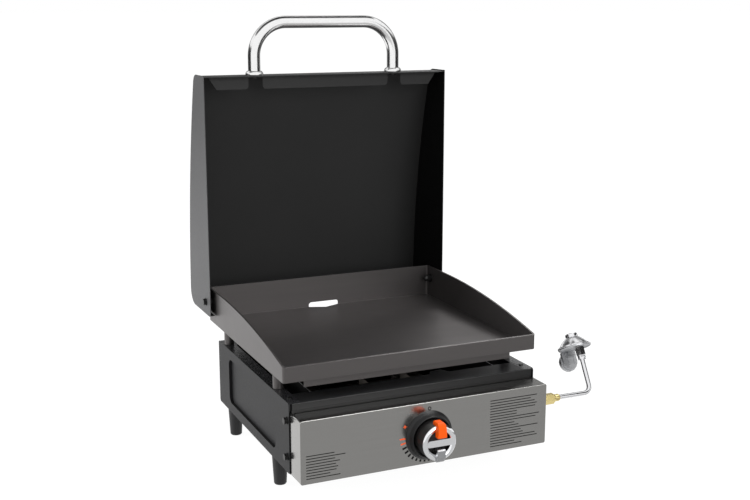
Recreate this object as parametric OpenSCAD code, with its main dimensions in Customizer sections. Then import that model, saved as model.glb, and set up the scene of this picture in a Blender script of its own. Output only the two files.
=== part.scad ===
// Tabletop gas griddle with a hinged hood, hood standing open.
// Millimetres. X runs to the right, Y to the back, Z up.
// The origin is on the table, under the centre of the base.

/* [Base] */
// Width of the base over its side panels
base_w = 420; // [380:1:424]
// Depth of the base
base_d = 360; // [330:1:370]
// Height of the side panels
base_h = 111; // [100:1:130]
// Height of the feet
foot_h = 47.5; // [30:0.5:60]
// Thickness of the base's sheet steel
sheet_t = 1.2; // [0.8:0.1:1.6]
// Width of the side panels' top flanges
side_flange_w = 19.5; // [18:0.5:24]
// Depth of the front and rear rails' top flanges
rail_flange_d = 40; // [30:1:46]
// Depth of the pressed field in each side panel
press_depth = 5; // [2:0.5:6]
// Radius of a foot at its top
foot_top_r = 12.5; // [11:0.5:13]
// Radius of a foot at its bottom
foot_bottom_r = 10; // [8:0.5:12]

/* [Griddle plate] */
// Outside width of the plate
plate_w = 432; // [425:1:440]
// Outside depth of the plate
plate_d = 388; // [380:1:396]
// Thickness of the plate and its walls
plate_t = 3; // [2:0.5:4]
// Distance of the plate's front behind the base's front
plate_setback = 5.5; // [2:0.5:12]
// Height of the front wall
front_wall_h = 24; // [20:0.5:28]
// Height of the back wall
back_wall_h = 58.5; // [54:0.5:66]
// Length of the level stretch of the side walls, at the back
rim_level = 73; // [50:1:100]
// Radius of the plate's upright corners
plate_corner_r = 5; // [4:0.5:8]
// Width of the grease slot in the back wall
slot_w = 58; // [40:1:70]
// Height of the grease slot above the cooking surface
slot_h = 8; // [5:0.5:10]
// Height of the standoffs under the plate
standoff_h = 30; // [24:0.5:36]
// Radius of a standoff
standoff_r = 8.3; // [7:0.1:9]

/* [Hood] */
// Width of the hood over its side plates
hood_w = 451; // [445:1:460]
// Distance of the hinge axis ahead of the plate's back face
hinge_inset = 15.5; // [14:0.5:18]
// Height of the hinge axis above the plate's underside
hinge_h = 36.7; // [34:0.1:40]
// Distance from the hinge axis to the hood's open edge
edge_drop = 26; // [24:0.5:30]
// Distance from the hinge axis to the hood's front wall
hood_reach = 392.3; // [388:0.1:400]
// Distance from the hinge axis to the hood's back wall
hood_back = 22.7; // [21:0.1:25]
// Depth of the hood at its hinge
hood_rear_depth = 126.5; // [116:0.5:136]
// Depth of the hood near its front wall
hood_front_depth = 68; // [60:0.5:80]
// Radius of the hood's bowed roof
roof_r = 1441; // [1100:1:2000]
// Radius of the bend between roof and front wall
front_bend_r = 18; // [12:1:22]
// Radius of the bend between roof and back wall
back_bend_r = 26; // [18:1:30]
// Thickness of the hood's sheet steel
hood_t = 1.2; // [0.8:0.1:1.6]
// Width of the rest flange inside the front wall
lip_d = 22; // [20:0.5:26]

/* [Handle] */
// Distance between the handle's legs
handle_span = 260; // [220:1:300]
// Radius of the handle's tube
handle_r = 10.5; // [8:0.5:12]
// Projection of the handle from the front wall
handle_reach = 99.5; // [80:0.5:120]
// Radius of the handle's bends, on the tube's centre line
handle_bend_r = 57.5; // [40:0.5:60]
// Height of the handle above the hood's open edge
handle_up = 20; // [19:0.5:24]

/* [Control panel] */
// Distance of the control panel's ends inside the base's sides
panel_inset = 1.5; // [1.5:0.5:10]
// Height of the control panel
panel_h = 98.5; // [92:0.5:104]
// Depth of the control panel's flanges
panel_d = 43.5; // [40:0.5:50]
// Thickness of the control panel
panel_t = 1.2; // [0.8:0.1:1.5]
// Height of the knob's axis above the panel's lower edge
knob_up = 46; // [44:0.5:50]

/* [Knob and valve] */
// Radius of the bezel at the panel
bezel_r = 39; // [36:0.5:42]
// Height of the bezel
bezel_h = 12; // [9:0.5:14]
// Radius of the knob
knob_r = 28.2; // [26:0.1:29]
// Distance of the knob's face from the panel
knob_face = 37.5; // [32:0.5:40]
// Radius of the valve stem
stem_r = 3; // [2.5:0.1:3.5]
// Travel of the knob when it is pushed in
push_travel = 3; // [2:0.5:4]
// Radial running clearance of turning parts
running_fit = 0.06; // [0.02:0.01:0.1]

/* [Burner] */
// Distance between the burner's two runs
burner_w = 190; // [150:1:220]
// Length of the burner's runs
burner_l = 220; // [180:1:240]
// Outside radius of the burner's tubes
burner_r = 15; // [12:0.5:18]
// Thickness of the burner's tubes
burner_t = 1; // [0.8:0.1:1.5]
// Number of flame ports along each side of a run
port_n = 12; // [6:1:16]

/* [Gas arm] */
// Height of the gas inlet above the knob's axis
inlet_up = 18.3; // [17:0.1:20]
// Radius of the gas tube
tube_r = 4; // [3:0.5:4.5]
// Distance of the gas arm's upright leg from the middle
arm_x = 307.8; // [290:0.1:330]
// Radius of the gas tube's bend, on its centre line
tube_bend_r = 13; // [10:0.5:16]
// Height of the regulator's rim above the inlet
regulator_up = 79.7; // [76:0.1:90]
// Radius of the regulator's rim
regulator_r = 28; // [26:0.5:30]
// Lean of the gas arm towards the back
arm_lean = 30; // [0:1:45]
// Radius of the threaded bore for the gas cylinder
cylinder_bore_r = 12.7; // [12:0.1:13]

/* [Grease cup] */
// Width of the grease cup
cup_w = 120; // [90:1:140]
// Depth of the grease cup, front to back
cup_d = 60; // [50:1:70]
// Height of the grease cup
cup_h = 64; // [50:1:70]
// Thickness of the grease cup's wall
cup_t = 1; // [0.8:0.1:1.5]

/* [Hidden] */
$fn = 48;

// Clearance between pieces that move apart
gap = 0.3;
// Clearance of a fixed fastener in its hole
hole_play = 0.05;
// Clearance of a thread, and of a piece pressed or soldered onto another
thread_play = 0.02;
// Overshoot of a cutting solid past the face that it cuts
cut = 1;

base_x = base_w / 2;
base_front = -base_d / 2;
base_back = base_d / 2;
base_top = foot_h + base_h;
base_corner_r = 4;
base_floor_flange = 32;
press_margin = 62;
press_side = 16.5;
press_r = 12;
foot_x = base_x - foot_top_r - 0.5;
foot_front = base_front + 81;
foot_back = base_back - 48;
foot_screw_r = 2.5;
foot_screw_l = 15;
foot_screw_head_r = 5;
foot_screw_head_h = 3;
foot_edge = 1.5;
rail_half = base_x - 4.5;
rail_joggle = 3;
rail_return = 30;
rail_z = foot_h + sheet_t;
rail_floor_d = 50;
rail_top_half = base_x - side_flange_w - gap;
rail_tabs = [[42, 78]];
rail_tab_l = 14;
rail_tab_slant = 8;
side_screw_x = base_x - 9.5;
side_screw_y = [base_front + 23.3, base_back - 12];
side_bolt_y = base_front + 9;
side_bolt_z = [base_top - 85.5, base_top - 28.5];
side_bolt_r = 3;
side_bolt_l = 10;
side_bolt_af = 9.5;
side_bolt_head_h = 4;
side_nut_h = 3;
side_nut_r = 4.6;
washer_t = 1.5;
washer_r = 5.8;
rail_screw_r = 2;
rail_screw_l = 6;
rail_screw_head_r = 3.6;
rail_screw_head_h = 1.6;

plate_x = plate_w / 2;
plate_front = base_front + plate_setback;
plate_back = plate_front + plate_d;
plate_z = base_top + standoff_h;
plate_top = plate_z + plate_t;
rim_z = plate_z + back_wall_h;
front_rim_z = plate_z + front_wall_h;
rim_run = plate_d - rim_level;
rim_drop = back_wall_h - front_wall_h;
rim_r = (rim_run * rim_run + rim_drop * rim_drop) / (2 * rim_drop);
notch_d = 14.5;
standoff_x = base_x - 10;
standoff_front = base_front + 74.5;
standoff_back = base_back - 31;
stiffener_x = standoff_x - standoff_r - 14.2;
stiffener_h = 15.3;
stiffener_d = 24;
stiffener_t = 2;
front_stiffener_in = 15.7;
rear_stiffener_y = base_back - base_corner_r - 2.5;

hinge_y = plate_back - hinge_inset;
hinge_z = plate_z + hinge_h;
hinge_r = 3;
hinge_bore_r = hinge_r + running_fit;
acorn_washer_r = 8.4;
acorn_af = 12;
acorn_hex_l = 5;
acorn_neck = 2;
acorn_dome_r = 5.4;
hinge_head_af = 10;
hinge_head_h = 3.6;
hinge_washer_r = 6.5;
hood_x = hood_w / 2;
hood_edge_y = hinge_y - edge_drop;
hood_top = hinge_z + hood_reach;
hood_bottom = hinge_z - hood_back;
side_proud = 2;
back_wall_y = plate_back + 2 * gap;
roof_rear = [hood_edge_y + hood_rear_depth, hinge_z];
roof_front = [hood_edge_y + hood_front_depth, hood_top - 25];
roof_c = arc_centre(roof_rear, roof_front, roof_r);
front_bend_c = [roof_c[0] + leg(roof_r - front_bend_r, hood_top - front_bend_r - roof_c[1]),
    hood_top - front_bend_r];
back_bend_c = [roof_c[0] + leg(roof_r - back_bend_r, hood_bottom + back_bend_r - roof_c[1]),
    hood_bottom + back_bend_r];
front_bend_a = direction(roof_c, front_bend_c);
back_bend_a = direction(roof_c, back_bend_c);
wall_in = side_proud + hood_t;
ear_w = hood_x - hood_t - plate_x - 4 * gap;
front_rim_rear_z = rim_z - rim_r + leg(rim_r, rim_run - plate_t);
lip_y = hinge_y - (hinge_z - front_rim_rear_z) + gap;
lip_z = hood_top - wall_in;
lip_notch = 25;
lip_end = 11.5;

handle_x = handle_span / 2;
handle_y = hood_edge_y + handle_up;
handle_foot_z = hood_top - side_proud;
handle_z = handle_foot_z + handle_reach - handle_r;
handle_wall = 1.2;
collar_r = 15;
collar_h = 7.5;
handle_screw_r = 3;
handle_plug = 14;

panel_x = base_x - panel_inset;
panel_z = foot_h - 1;
panel_y = base_front - panel_d;
panel_back = panel_y + panel_t;
panel_corner_r = 3;
knob_z = panel_z + knob_up;
valve_hole_r = 8;
angle_t = 1.5;
angle_foot = 24.5;
angle_d = 14;
angle_low = 12;
angle_high = 8;

face_y = panel_y - knob_face;
bezel_bore_r = knob_r + 3.2;
bezel_floor_r = 21;
bezel_floor_t = 2;
knob_rim = 3;
ring_inner_r = knob_r - 9;
ring_mid_r = (ring_inner_r + knob_r - 0.3) / 2;
ring_half = (knob_r - 0.3 - ring_inner_r) / 2;
ring_crown = 3.2;
ring_edge = 1;
ring_bow_r = (ring_half * ring_half + (ring_crown - ring_edge) * (ring_crown - ring_edge))
    / (2 * (ring_crown - ring_edge));
ring_bow_a = acos(ring_half / ring_bow_r);
bar_h = 10.6;
pointer_w = 14.6;
pointer_out = 8.3;
pointer_over = 4.6;
pointer_back = 12;
pointer_low = 10.3;
pointer_r = 9;
block_w = 13.7;
block_out = 6.3;
block_back = 9;
block_high = -8.3;
block_low = -21.6;
block_drop = 1;
valve_r = 13;
bonnet_y = panel_back;
bonnet_h = 8;
valve_y = bonnet_y + bonnet_h;
valve_l = 24;
plug_r = 7;
plug_y = valve_y + 1;
plug_l = 18;
stem_in = 9;
orifice_y = valve_y + valve_l;
valve_screw_x = 16;

inlet_z = knob_z + inlet_up;
inlet_y = valve_y + valve_l / 2;
pipe_r = 5.5;
pipe_end = base_x + 16;
locknut_af = 18;
nut_x = base_x + 5.2;
nut_l = 22;
nut_af = 15.9;
ferrule_l = 9;
ferrule_r = 5.9;
outlet_z = regulator_up - 24;
outlet_af = 14.5;
outlet_flange_h = 7;
outlet_flange_r = 6.6;
dish_h = 3.6;
disc_y = 13.9;
boss_drop = 18.7;
boss_r = 13.4;
slab_y = disc_y + 22.2;
slab_t = 5;
collar_l = 7;
collar_out_r = 15.7;

tray_half = base_x - 50;
vent_r = 6;
vent_pitch = 36;
vent_rows = 2;
vent_columns = 3;
tray_front = base_front + rail_flange_d + 0.1;
tray_back = base_back - rail_flange_d - 0.1;
tray_z = rail_z + sheet_t;
tray_top = base_top - sheet_t;
burner_y = 10;
mixer_r = 12;
bracket_left = -62;
bracket_right = 12;
bracket_t = 1.5;
ear_l = 40;
rest_d = 10;
mouth_y = base_front + 12;
port_r = 1.2;
grommet_r = 4;
rail_grommet = [36, knob_z - 26.5];
tray_grommet = [52, knob_z - 8.5];
lead_r = 1.4;
electrode = [burner_w / 2 - burner_r - 26, burner_y - 62, knob_z];
insulator_l = 34;
insulator_r = 3.2;
wire_r = 1;
wire_l = 60;
wire_in = 10;
clip_half = 7;
clip_t = 1.5;
clip_in = 14;

spout_w = slot_w + 8;
spout_l = 16;
spout_drop = 6.5;
spout_t = 1.5;
cup_x = cup_w / 2;
cup_y = plate_back - 23;
cup_z = plate_z - 16.5 - cup_h;
cup_rim = 5;
cup_screw_x = [12 - cup_x, cup_x - 12];
cup_screw_z = cup_z + cup_h - 24;
hanger_t = 1.5;
hanger_h = 34;
hanger_arm_h = 16;

function leg(hyp, side) = sqrt(hyp * hyp - side * side);
function direction(a, b) = atan2(b[1] - a[1], b[0] - a[0]);
function arc_centre(a, b, r) =
    let (d = b - a, l = norm(d))
    (a + b) / 2 + [-d[1], d[0]] / l * leg(r, l / 2);
function arc(c, r, a0, a1, n) =
    [for (i = [0:n]) let (a = a0 + (a1 - a0) * i / n) c + r * [cos(a), sin(a)]];
// The hood's outline in Y and Z from its front bend over the roof to its back bend, moved in by e
function roof_path(e) = concat(
    arc(front_bend_c, front_bend_r - e, 90, front_bend_a, 8),
    arc(roof_c, roof_r - e, front_bend_a, back_bend_a, 16),
    arc(back_bend_c, back_bend_r - e, back_bend_a, -90, 8));
function reversed(p) = [for (i = [len(p) - 1:-1:0]) p[i]];

// Extrudes a flat shape, drawn in Y and Z, along X
module along_x(x0, l) { translate([x0, 0, 0]) rotate([90, 0, 90]) linear_extrude(l) children(); }
// Extrudes a flat shape, drawn in X and Z, along Y
module along_y(y0, l) { translate([0, y0 + l, 0]) rotate([90, 0, 0]) linear_extrude(l) children(); }
module rod_x(x0, l, r, y, z) { translate([x0, y, z]) rotate([0, 90, 0]) cylinder(h = l, r = r); }
module rod_y(y0, l, r, x, z) { translate([x, y0, z]) rotate([-90, 0, 0]) cylinder(h = l, r = r); }
module hex(af, l) { cylinder(h = l, r = af / 2 / cos(30), $fn = 6); }
module box(low, high) { translate(low) cube(high - low); }
module both_sides() { children(); mirror([1, 0, 0]) children(); }
// A rectangle from its low corner to its high corner, with round corners
module round_rect(low, high, r) {
    size = high - low;
    translate([low[0] + r, low[1]]) square([size[0] - 2 * r, size[1]]);
    translate([low[0], low[1] + r]) square([size[0], size[1] - 2 * r]);
    for (x = [low[0] + r, high[0] - r], y = [low[1] + r, high[1] - r]) translate([x, y]) circle(r);
}
// A round tube through a list of points, as one polyhedron
module swept_tube(path, r, sides) {
    n = len(path);
    function tangent(i) = let (d = path[min(i + 1, n - 1)] - path[max(i - 1, 0)]) d / norm(d);
    function across(t) = let (c = cross(t, abs(t[2]) < 0.9 ? [0, 0, 1] : [1, 0, 0])) c / norm(c);
    rings = [for (i = [0:n - 1]) let (t = tangent(i), u = across(t), v = cross(t, u))
        for (k = [0:sides - 1]) path[i] + r * (cos(360 * k / sides) * u + sin(360 * k / sides) * v)];
    faces = concat([[for (k = [0:sides - 1]) k]],
        [for (i = [0:n - 2], k = [0:sides - 1]) let (a = i * sides + k, b = i * sides + (k + 1) % sides)
            each [[a, a + sides, b], [b, a + sides, b + sides]]],
        [[for (k = [sides - 1:-1:0]) (n - 1) * sides + k]]);
    polyhedron(rings, faces);
}

// One side panel of the base, on the left: a pressed sheet with top and bottom flanges
module side_panel() {
    press_low = [base_front + press_margin, foot_h + press_side];
    press_high = [base_back - press_margin + 4, base_top - press_side];
    wall_out = sheet_t * [1, 1];
    difference() {
        union() {
            along_x(-base_x, sheet_t)
                round_rect([base_front, foot_h], [base_back, base_top], base_corner_r);
            along_x(-base_x + sheet_t, press_depth)
                round_rect(press_low - wall_out, press_high + wall_out, press_r + sheet_t);
            box([-base_x + sheet_t, base_front, base_top - sheet_t],
                [-base_x + side_flange_w, base_back - base_corner_r, base_top]);
            box([-base_x + sheet_t, base_front, foot_h],
                [-base_x + base_floor_flange, base_back - base_corner_r, foot_h + sheet_t]);
        }
        along_x(-base_x - cut, press_depth + cut) round_rect(press_low, press_high, press_r);
        for (y = [foot_front, foot_back]) translate([-foot_x, y, foot_h - cut])
            cylinder(h = sheet_t + 2 * cut, r = foot_screw_r + hole_play);
        for (y = side_screw_y) translate([-side_screw_x, y, base_top - sheet_t - cut])
            cylinder(h = sheet_t + 2 * cut, r = rail_screw_r + hole_play);
        for (z = side_bolt_z)
            rod_x(-base_x - cut, sheet_t + 2 * cut, side_bolt_r + hole_play, side_bolt_y, z);
    }
}
module left_side_panel() { color("#4a4a4b") side_panel(); }
module right_side_panel() { color("#4a4a4b") mirror([1, 0, 0]) side_panel(); }

// The joggled end of a rail, which meets the side panel behind the rail's face
module rail_end() {
    z0 = rail_z;
    z1 = base_top - sheet_t;
    x1 = base_x - sheet_t;
    box([rail_half - sheet_t, base_front + sheet_t, z0], [rail_half, base_front + rail_joggle + sheet_t, z1]);
    box([rail_half, base_front + rail_joggle, z0], [x1, base_front + rail_joggle + sheet_t, z1]);
    box([x1 - sheet_t, base_front + rail_joggle + sheet_t, z0], [x1, base_front + rail_return, z1]);
    lap_tab(base_front + rail_joggle + sheet_t, base_front + rail_flange_d);
}
// Tab of a rail, under the side panel's top flange, that the rail screws go into
module lap_tab(y0, y1) {
    z1 = base_top - sheet_t;
    difference() {
        box([rail_top_half - 12, y0, z1 - sheet_t], [base_x - sheet_t, y1, z1]);
        for (y = side_screw_y) translate([side_screw_x, y, z1 - sheet_t - cut])
            cylinder(h = sheet_t + 2 * cut, r = rail_screw_r + hole_play);
    }
}
module front_rail() {
    z1 = base_top - sheet_t;
    rear = base_front + rail_flange_d;
    color("#2e2e2f") difference() {
        union() {
            box([-rail_half, base_front, rail_z], [rail_half, base_front + sheet_t, z1]);
            box([-rail_top_half, base_front, z1], [rail_top_half, rear, base_top]);
            box([-rail_top_half, rear - sheet_t, base_top - 11], [-tray_half - 1, rear, z1]);
            for (tab = rail_tabs) translate([0, 0, z1]) linear_extrude(sheet_t) polygon([
                [tab[0], rear - sheet_t], [tab[0], rear], [tab[0] + rail_tab_slant, rear + rail_tab_l],
                [tab[1] - rail_tab_slant, rear + rail_tab_l], [tab[1], rear], [tab[1], rear - sheet_t]]);
            box([-rail_half, base_front, rail_z], [rail_half, base_front + rail_floor_d, rail_z + sheet_t]);
            both_sides() rail_end();
        }
        rod_y(base_front - cut, 2 * sheet_t + cut, mixer_r + 8, 0, knob_z);
        rod_y(base_front - cut, 2 * sheet_t + cut, grommet_r, rail_grommet[0], rail_grommet[1]);
        for (x = [-foot_x, foot_x]) translate([x, foot_front, rail_z - cut])
            cylinder(h = 3 * cut, r = foot_screw_head_r + 0.5);
        both_sides() for (z = side_bolt_z) rod_x(base_x - 2 * sheet_t - cut, sheet_t + 2 * cut,
            side_bolt_r + hole_play, side_bolt_y, z);
    }
}
module side_bolts() {
    color("#1b1b1b") both_sides() for (z = side_bolt_z) {
        rod_x(base_x - side_bolt_l, side_bolt_l, side_bolt_r, side_bolt_y, z);
        rod_x(base_x, washer_t, washer_r, side_bolt_y, z);
        translate([base_x + washer_t, side_bolt_y, z]) rotate([0, 90, 0]) hex(side_bolt_af, side_bolt_head_h);
        rod_x(base_x - 2 * sheet_t - side_nut_h, side_nut_h, side_nut_r, side_bolt_y, z);
    }
}
module rear_panel() {
    z1 = base_top - sheet_t;
    x1 = base_x - sheet_t;
    vent_n = 6;
    vent_x = base_x - 118;
    color("#2e2e2f") difference() {
        union() {
            box([-x1, base_back - base_corner_r - sheet_t, rail_z], [x1, base_back - base_corner_r, z1]);
            box([-rail_top_half, base_back - rail_flange_d, z1],
                [rail_top_half, base_back - base_corner_r, base_top]);
            box([-x1, base_back - rail_floor_d, rail_z],
                [x1, base_back - base_corner_r, rail_z + sheet_t]);
            both_sides() lap_tab(base_back - rail_flange_d, base_back - base_corner_r);
        }
        for (i = [0:vent_n - 1], s = [-1, 1]) let (x = s * vent_x, z = rail_z + 18 + i * 12)
            along_y(base_back - base_corner_r - sheet_t - cut, sheet_t + 2 * cut)
                round_rect([x - 26, z - 2.5], [x + 26, z + 2.5], 2.49);
        for (x = cup_screw_x) rod_y(base_back - base_corner_r - sheet_t - cut, sheet_t + 2 * cut,
            2.5 + hole_play, x, cup_screw_z);
        for (x = [-foot_x, foot_x]) translate([x, foot_back, rail_z - cut])
            cylinder(h = 3 * cut, r = foot_screw_head_r + 0.5);
    }
}
module burner_tray() {
    color("#3a3a3b") difference() {
        box([-tray_half, tray_front, tray_z], [tray_half, tray_back, tray_top]);
        box([-tray_half + sheet_t, tray_front + sheet_t, tray_z + sheet_t],
            [tray_half - sheet_t, tray_back - sheet_t, tray_top + cut]);
        rod_y(tray_front - cut, sheet_t + 2 * cut, mixer_r + 6, 0, knob_z);
        rod_y(tray_front - cut, sheet_t + 2 * cut, grommet_r, tray_grommet[0], tray_grommet[1]);
        for (i = [-vent_columns:vent_columns], j = [-vent_rows:vent_rows])
            translate([i * vent_pitch, j * vent_pitch, tray_z - cut])
                cylinder(h = sheet_t + 2 * cut, r = vent_r);
    }
}
module rail_screws() {
    color("#1b1b1b") both_sides() for (y = side_screw_y) translate([side_screw_x, y, 0]) {
        translate([0, 0, base_top]) cylinder(h = rail_screw_head_h, r = rail_screw_head_r);
        translate([0, 0, base_top - rail_screw_l]) cylinder(h = rail_screw_l, r = rail_screw_r);
    }
}

module foot(x, y) {
    color("#242425") translate([x, y, 0]) difference() {
        union() {
            cylinder(h = foot_edge, r1 = foot_bottom_r - 1, r2 = foot_bottom_r);
            translate([0, 0, foot_edge])
                cylinder(h = foot_h - foot_edge, r1 = foot_bottom_r, r2 = foot_top_r);
        }
        translate([0, 0, foot_h - foot_screw_l - 1]) cylinder(h = foot_screw_l + 1 + cut, r = foot_screw_r);
    }
}
module foot_front_left() { foot(-foot_x, foot_front); }
module foot_front_right() { foot(foot_x, foot_front); }
module foot_rear_left() { foot(-foot_x, foot_back); }
module foot_rear_right() { foot(foot_x, foot_back); }
module foot_screws() {
    color("#8d8d8d") both_sides() for (y = [foot_front, foot_back]) translate([foot_x, y, 0]) {
        translate([0, 0, foot_h - foot_screw_l])
            cylinder(h = foot_screw_l + sheet_t, r = foot_screw_r - thread_play);
        translate([0, 0, foot_h + sheet_t]) cylinder(h = foot_screw_head_h, r = foot_screw_head_r);
    }
}

// The stainless front: a shallow box, open at the back
module control_panel() {
    l = base_front - panel_y - 0.2;
    color("#b4b2ae") difference() {
        along_y(panel_y, l) round_rect([-panel_x, panel_z], [panel_x, panel_z + panel_h], panel_corner_r);
        along_y(panel_back, l) round_rect([-panel_x + panel_t, panel_z + panel_t],
            [panel_x - panel_t, panel_z + panel_h - panel_t], panel_corner_r - panel_t);
        rod_y(panel_y - cut, panel_t + 2 * cut, valve_hole_r, 0, knob_z);
        for (x = [-valve_screw_x, valve_screw_x])
            rod_y(panel_y - cut, panel_t + 2 * cut, 2 + hole_play, x, knob_z);
        rod_x(panel_x - panel_t - cut, panel_t + 2 * cut, pipe_r + hole_play, inlet_y, inlet_z);
    }
}
// Angle brackets, welded inside the control panel, that carry it on the front rail
module panel_brackets() {
    x1 = panel_x - panel_t;
    z0 = panel_z + angle_low;
    z1 = panel_z + panel_h - angle_high;
    color("#3a3a3b") both_sides() {
        box([x1 - angle_t, base_front - angle_d, z0], [x1, base_front - angle_t, z1]);
        box([base_x - angle_foot, base_front - angle_t, z0], [x1, base_front, z1]);
    }
}

// Burner: two ported runs, a cross tube and the mixing tube that the gas jet blows into
module burner_ends(r, x, y0, y1) {
    rod_y(y0, y1 - y0, r, x, knob_z);
    for (y = [y0, y1]) translate([x, y, knob_z]) sphere(r);
}
module burner() {
    x1 = burner_w / 2;
    y0 = burner_y - burner_l / 2 + burner_r;
    y1 = burner_y + burner_l / 2 - burner_r;
    color("#8f8c86") difference() {
        union() {
            both_sides() burner_ends(burner_r, x1, y0, y1);
            rod_x(-x1, burner_w, mixer_r, burner_y, knob_z);
            rod_y(mouth_y + 14, burner_y - mouth_y - 14, mixer_r, 0, knob_z);
            translate([0, mouth_y, knob_z]) rotate([-90, 0, 0])
                cylinder(h = 14, r1 = mixer_r + 5, r2 = mixer_r);
        }
        both_sides() burner_ends(burner_r - burner_t, x1, y0, y1);
        rod_x(-x1, burner_w, mixer_r - burner_t, burner_y, knob_z);
        rod_y(mouth_y + 13, burner_y - mouth_y - 13, mixer_r - burner_t, 0, knob_z);
        translate([0, mouth_y - 0.1, knob_z]) rotate([-90, 0, 0])
            cylinder(h = 14, r1 = mixer_r + 5 - burner_t, r2 = mixer_r - burner_t);
        for (s = [-1, 1], i = [0:port_n - 1])
            rod_x(s * x1 - burner_r - cut, 2 * (burner_r + cut), port_r,
                y0 + (y1 - y0) * (i + 0.5) / port_n, knob_z + 5);
    }
}
module burner_rests() {
    color("#8f8c86") both_sides() for (y = [burner_y - burner_l / 2 + 30, burner_y + burner_l / 2 - 40])
        translate([burner_w / 2, y, 0]) difference() {
            box([-burner_r - 2, 0, tray_z + sheet_t], [burner_r + 2, rest_d, knob_z]);
            box([-burner_r, -cut, tray_z + 2 * sheet_t], [burner_r, rest_d + cut, knob_z - burner_r - 1.5]);
            rod_y(-cut, rest_d + 2 * cut, burner_r + hole_play, 0, knob_z);
        }
}
// Bracket at the front of the tray, with two upright ears, that holds the mixing tube down
module burner_bracket() {
    y0 = tray_front + sheet_t;
    y1 = y0 + bracket_t;
    ears_z = knob_z + mixer_r + 8;
    color("#8f8c86") difference() {
        union() {
            box([bracket_left, y0, tray_z + sheet_t], [bracket_right, y1, tray_top]);
            for (x = [bracket_left, bracket_right - bracket_t])
                box([x, y0, ears_z], [x + bracket_t, y0 + ear_l, tray_top]);
        }
        rod_y(y0 - cut, bracket_t + 2 * cut, mixer_r + hole_play, 0, knob_z);
    }
}

// Gas valve behind the panel: bonnet, body with plug, and the jet that feeds the burner
module valve_bonnet() {
    color("#a9a9a6") difference() {
        union() {
            rod_y(bonnet_y, bonnet_h, valve_r, 0, knob_z);
            box([-valve_screw_x - 5, bonnet_y, knob_z - 5], [valve_screw_x + 5, bonnet_y + 3, knob_z + 5]);
        }
        rod_y(bonnet_y + 2, bonnet_h, plug_r, 0, knob_z);
        rod_y(bonnet_y - cut, bonnet_h, stem_r + 0.3, 0, knob_z);
        for (x = [-valve_screw_x, valve_screw_x])
            rod_y(bonnet_y - cut, 3 + 2 * cut, 2 + hole_play, x, knob_z);
    }
}
module valve_body() {
    color("#b9a46a") difference() {
        union() {
            rod_y(valve_y, valve_l, valve_r, 0, knob_z);
            box([-8, valve_y, knob_z], [8, valve_y + valve_l, inlet_z + 8]);
            rod_x(0, 16, 8, inlet_y, inlet_z);
        }
        rod_y(valve_y - cut, plug_l + 2 + cut, plug_r + running_fit, 0, knob_z);
        rod_y(valve_y, valve_l + cut, 2, 0, knob_z);
        rod_x(6, 12, pipe_r, inlet_y, inlet_z);
        translate([0, inlet_y, knob_z]) cylinder(h = inlet_up, r = 2);
    }
}
module valve_screws() {
    color("#8d8d8d") for (x = [-valve_screw_x, valve_screw_x]) {
        rod_y(panel_y, panel_t + 5, 2, x, knob_z);
        rod_y(panel_y - 2, 2, 3.6, x, knob_z);
    }
}
module gas_orifice() {
    color("#c9b36a") difference() {
        union() {
            translate([0, orifice_y, knob_z]) rotate([-90, 0, 0]) hex(11, 8);
            rod_y(orifice_y + 8, base_front + 16 - orifice_y - 8, 3.5, 0, knob_z);
        }
        rod_y(orifice_y - cut, base_front + 14 - orifice_y + cut, 1.5, 0, knob_z);
        rod_y(base_front + 10, 10, 0.6, 0, knob_z);
    }
}
module inlet_pipe() {
    color("#c9b36a") difference() {
        rod_x(6.2, pipe_end - 6.2, pipe_r, inlet_y, inlet_z);
        rod_x(5, pipe_end, 2.5, inlet_y, inlet_z);
    }
}
module inlet_locknut() {
    color("#c9b36a") difference() {
        translate([panel_x + thread_play, inlet_y, inlet_z]) rotate([0, 90, 0]) hex(locknut_af, 4);
        rod_x(panel_x - cut, 8, pipe_r + thread_play, inlet_y, inlet_z);
    }
}

// Black stepped bezel round the knob, on the panel
module knob_bezel() {
    color("#262627") translate([0, panel_y, knob_z]) rotate([90, 0, 0]) rotate_extrude() polygon([
        [bezel_floor_r, 0], [bezel_r, 0], [bezel_r, 1.5], [bezel_r - 1.2, 3], [bezel_r - 3.2, 5],
        [bezel_r - 3.6, 5], [bezel_bore_r + 1.6, bezel_h - 0.4], [bezel_bore_r + 1, bezel_h],
        [bezel_bore_r, bezel_h], [bezel_bore_r, bezel_floor_t], [bezel_floor_r, bezel_floor_t]]);
}
// Everything of the knob is drawn with its face to the front, round the knob's axis
module at_knob() { translate([0, face_y, knob_z]) children(); }
// The pointer curves over the knob's rim and ends in a thick lever over the crossbar
module pointer_shape(play) {
    top = knob_r + pointer_over + play;
    low = pointer_low - play;
    rim = knob_r - knob_rim - play;
    front = -pointer_out - play;
    back = pointer_back + play;
    w = pointer_w / 2 + play;
    intersection() {
        along_x(-w, 2 * w) polygon(concat(
            [[back, top], [back, rim], [2, rim], [2, low], [front + 1, low], [front, low + 1]],
            arc([front + pointer_r, top - pointer_r], pointer_r, 180, 90, 8)));
        along_y(front - cut, back + 2 * cut - front) polygon([[-w, low - cut], [w, low - cut], [w, low + 4],
            [w - 1, top - 2], [w - 3, top + cut], [-w + 3, top + cut], [-w + 1, top - 2], [-w, low + 4]]);
    }
}
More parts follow.
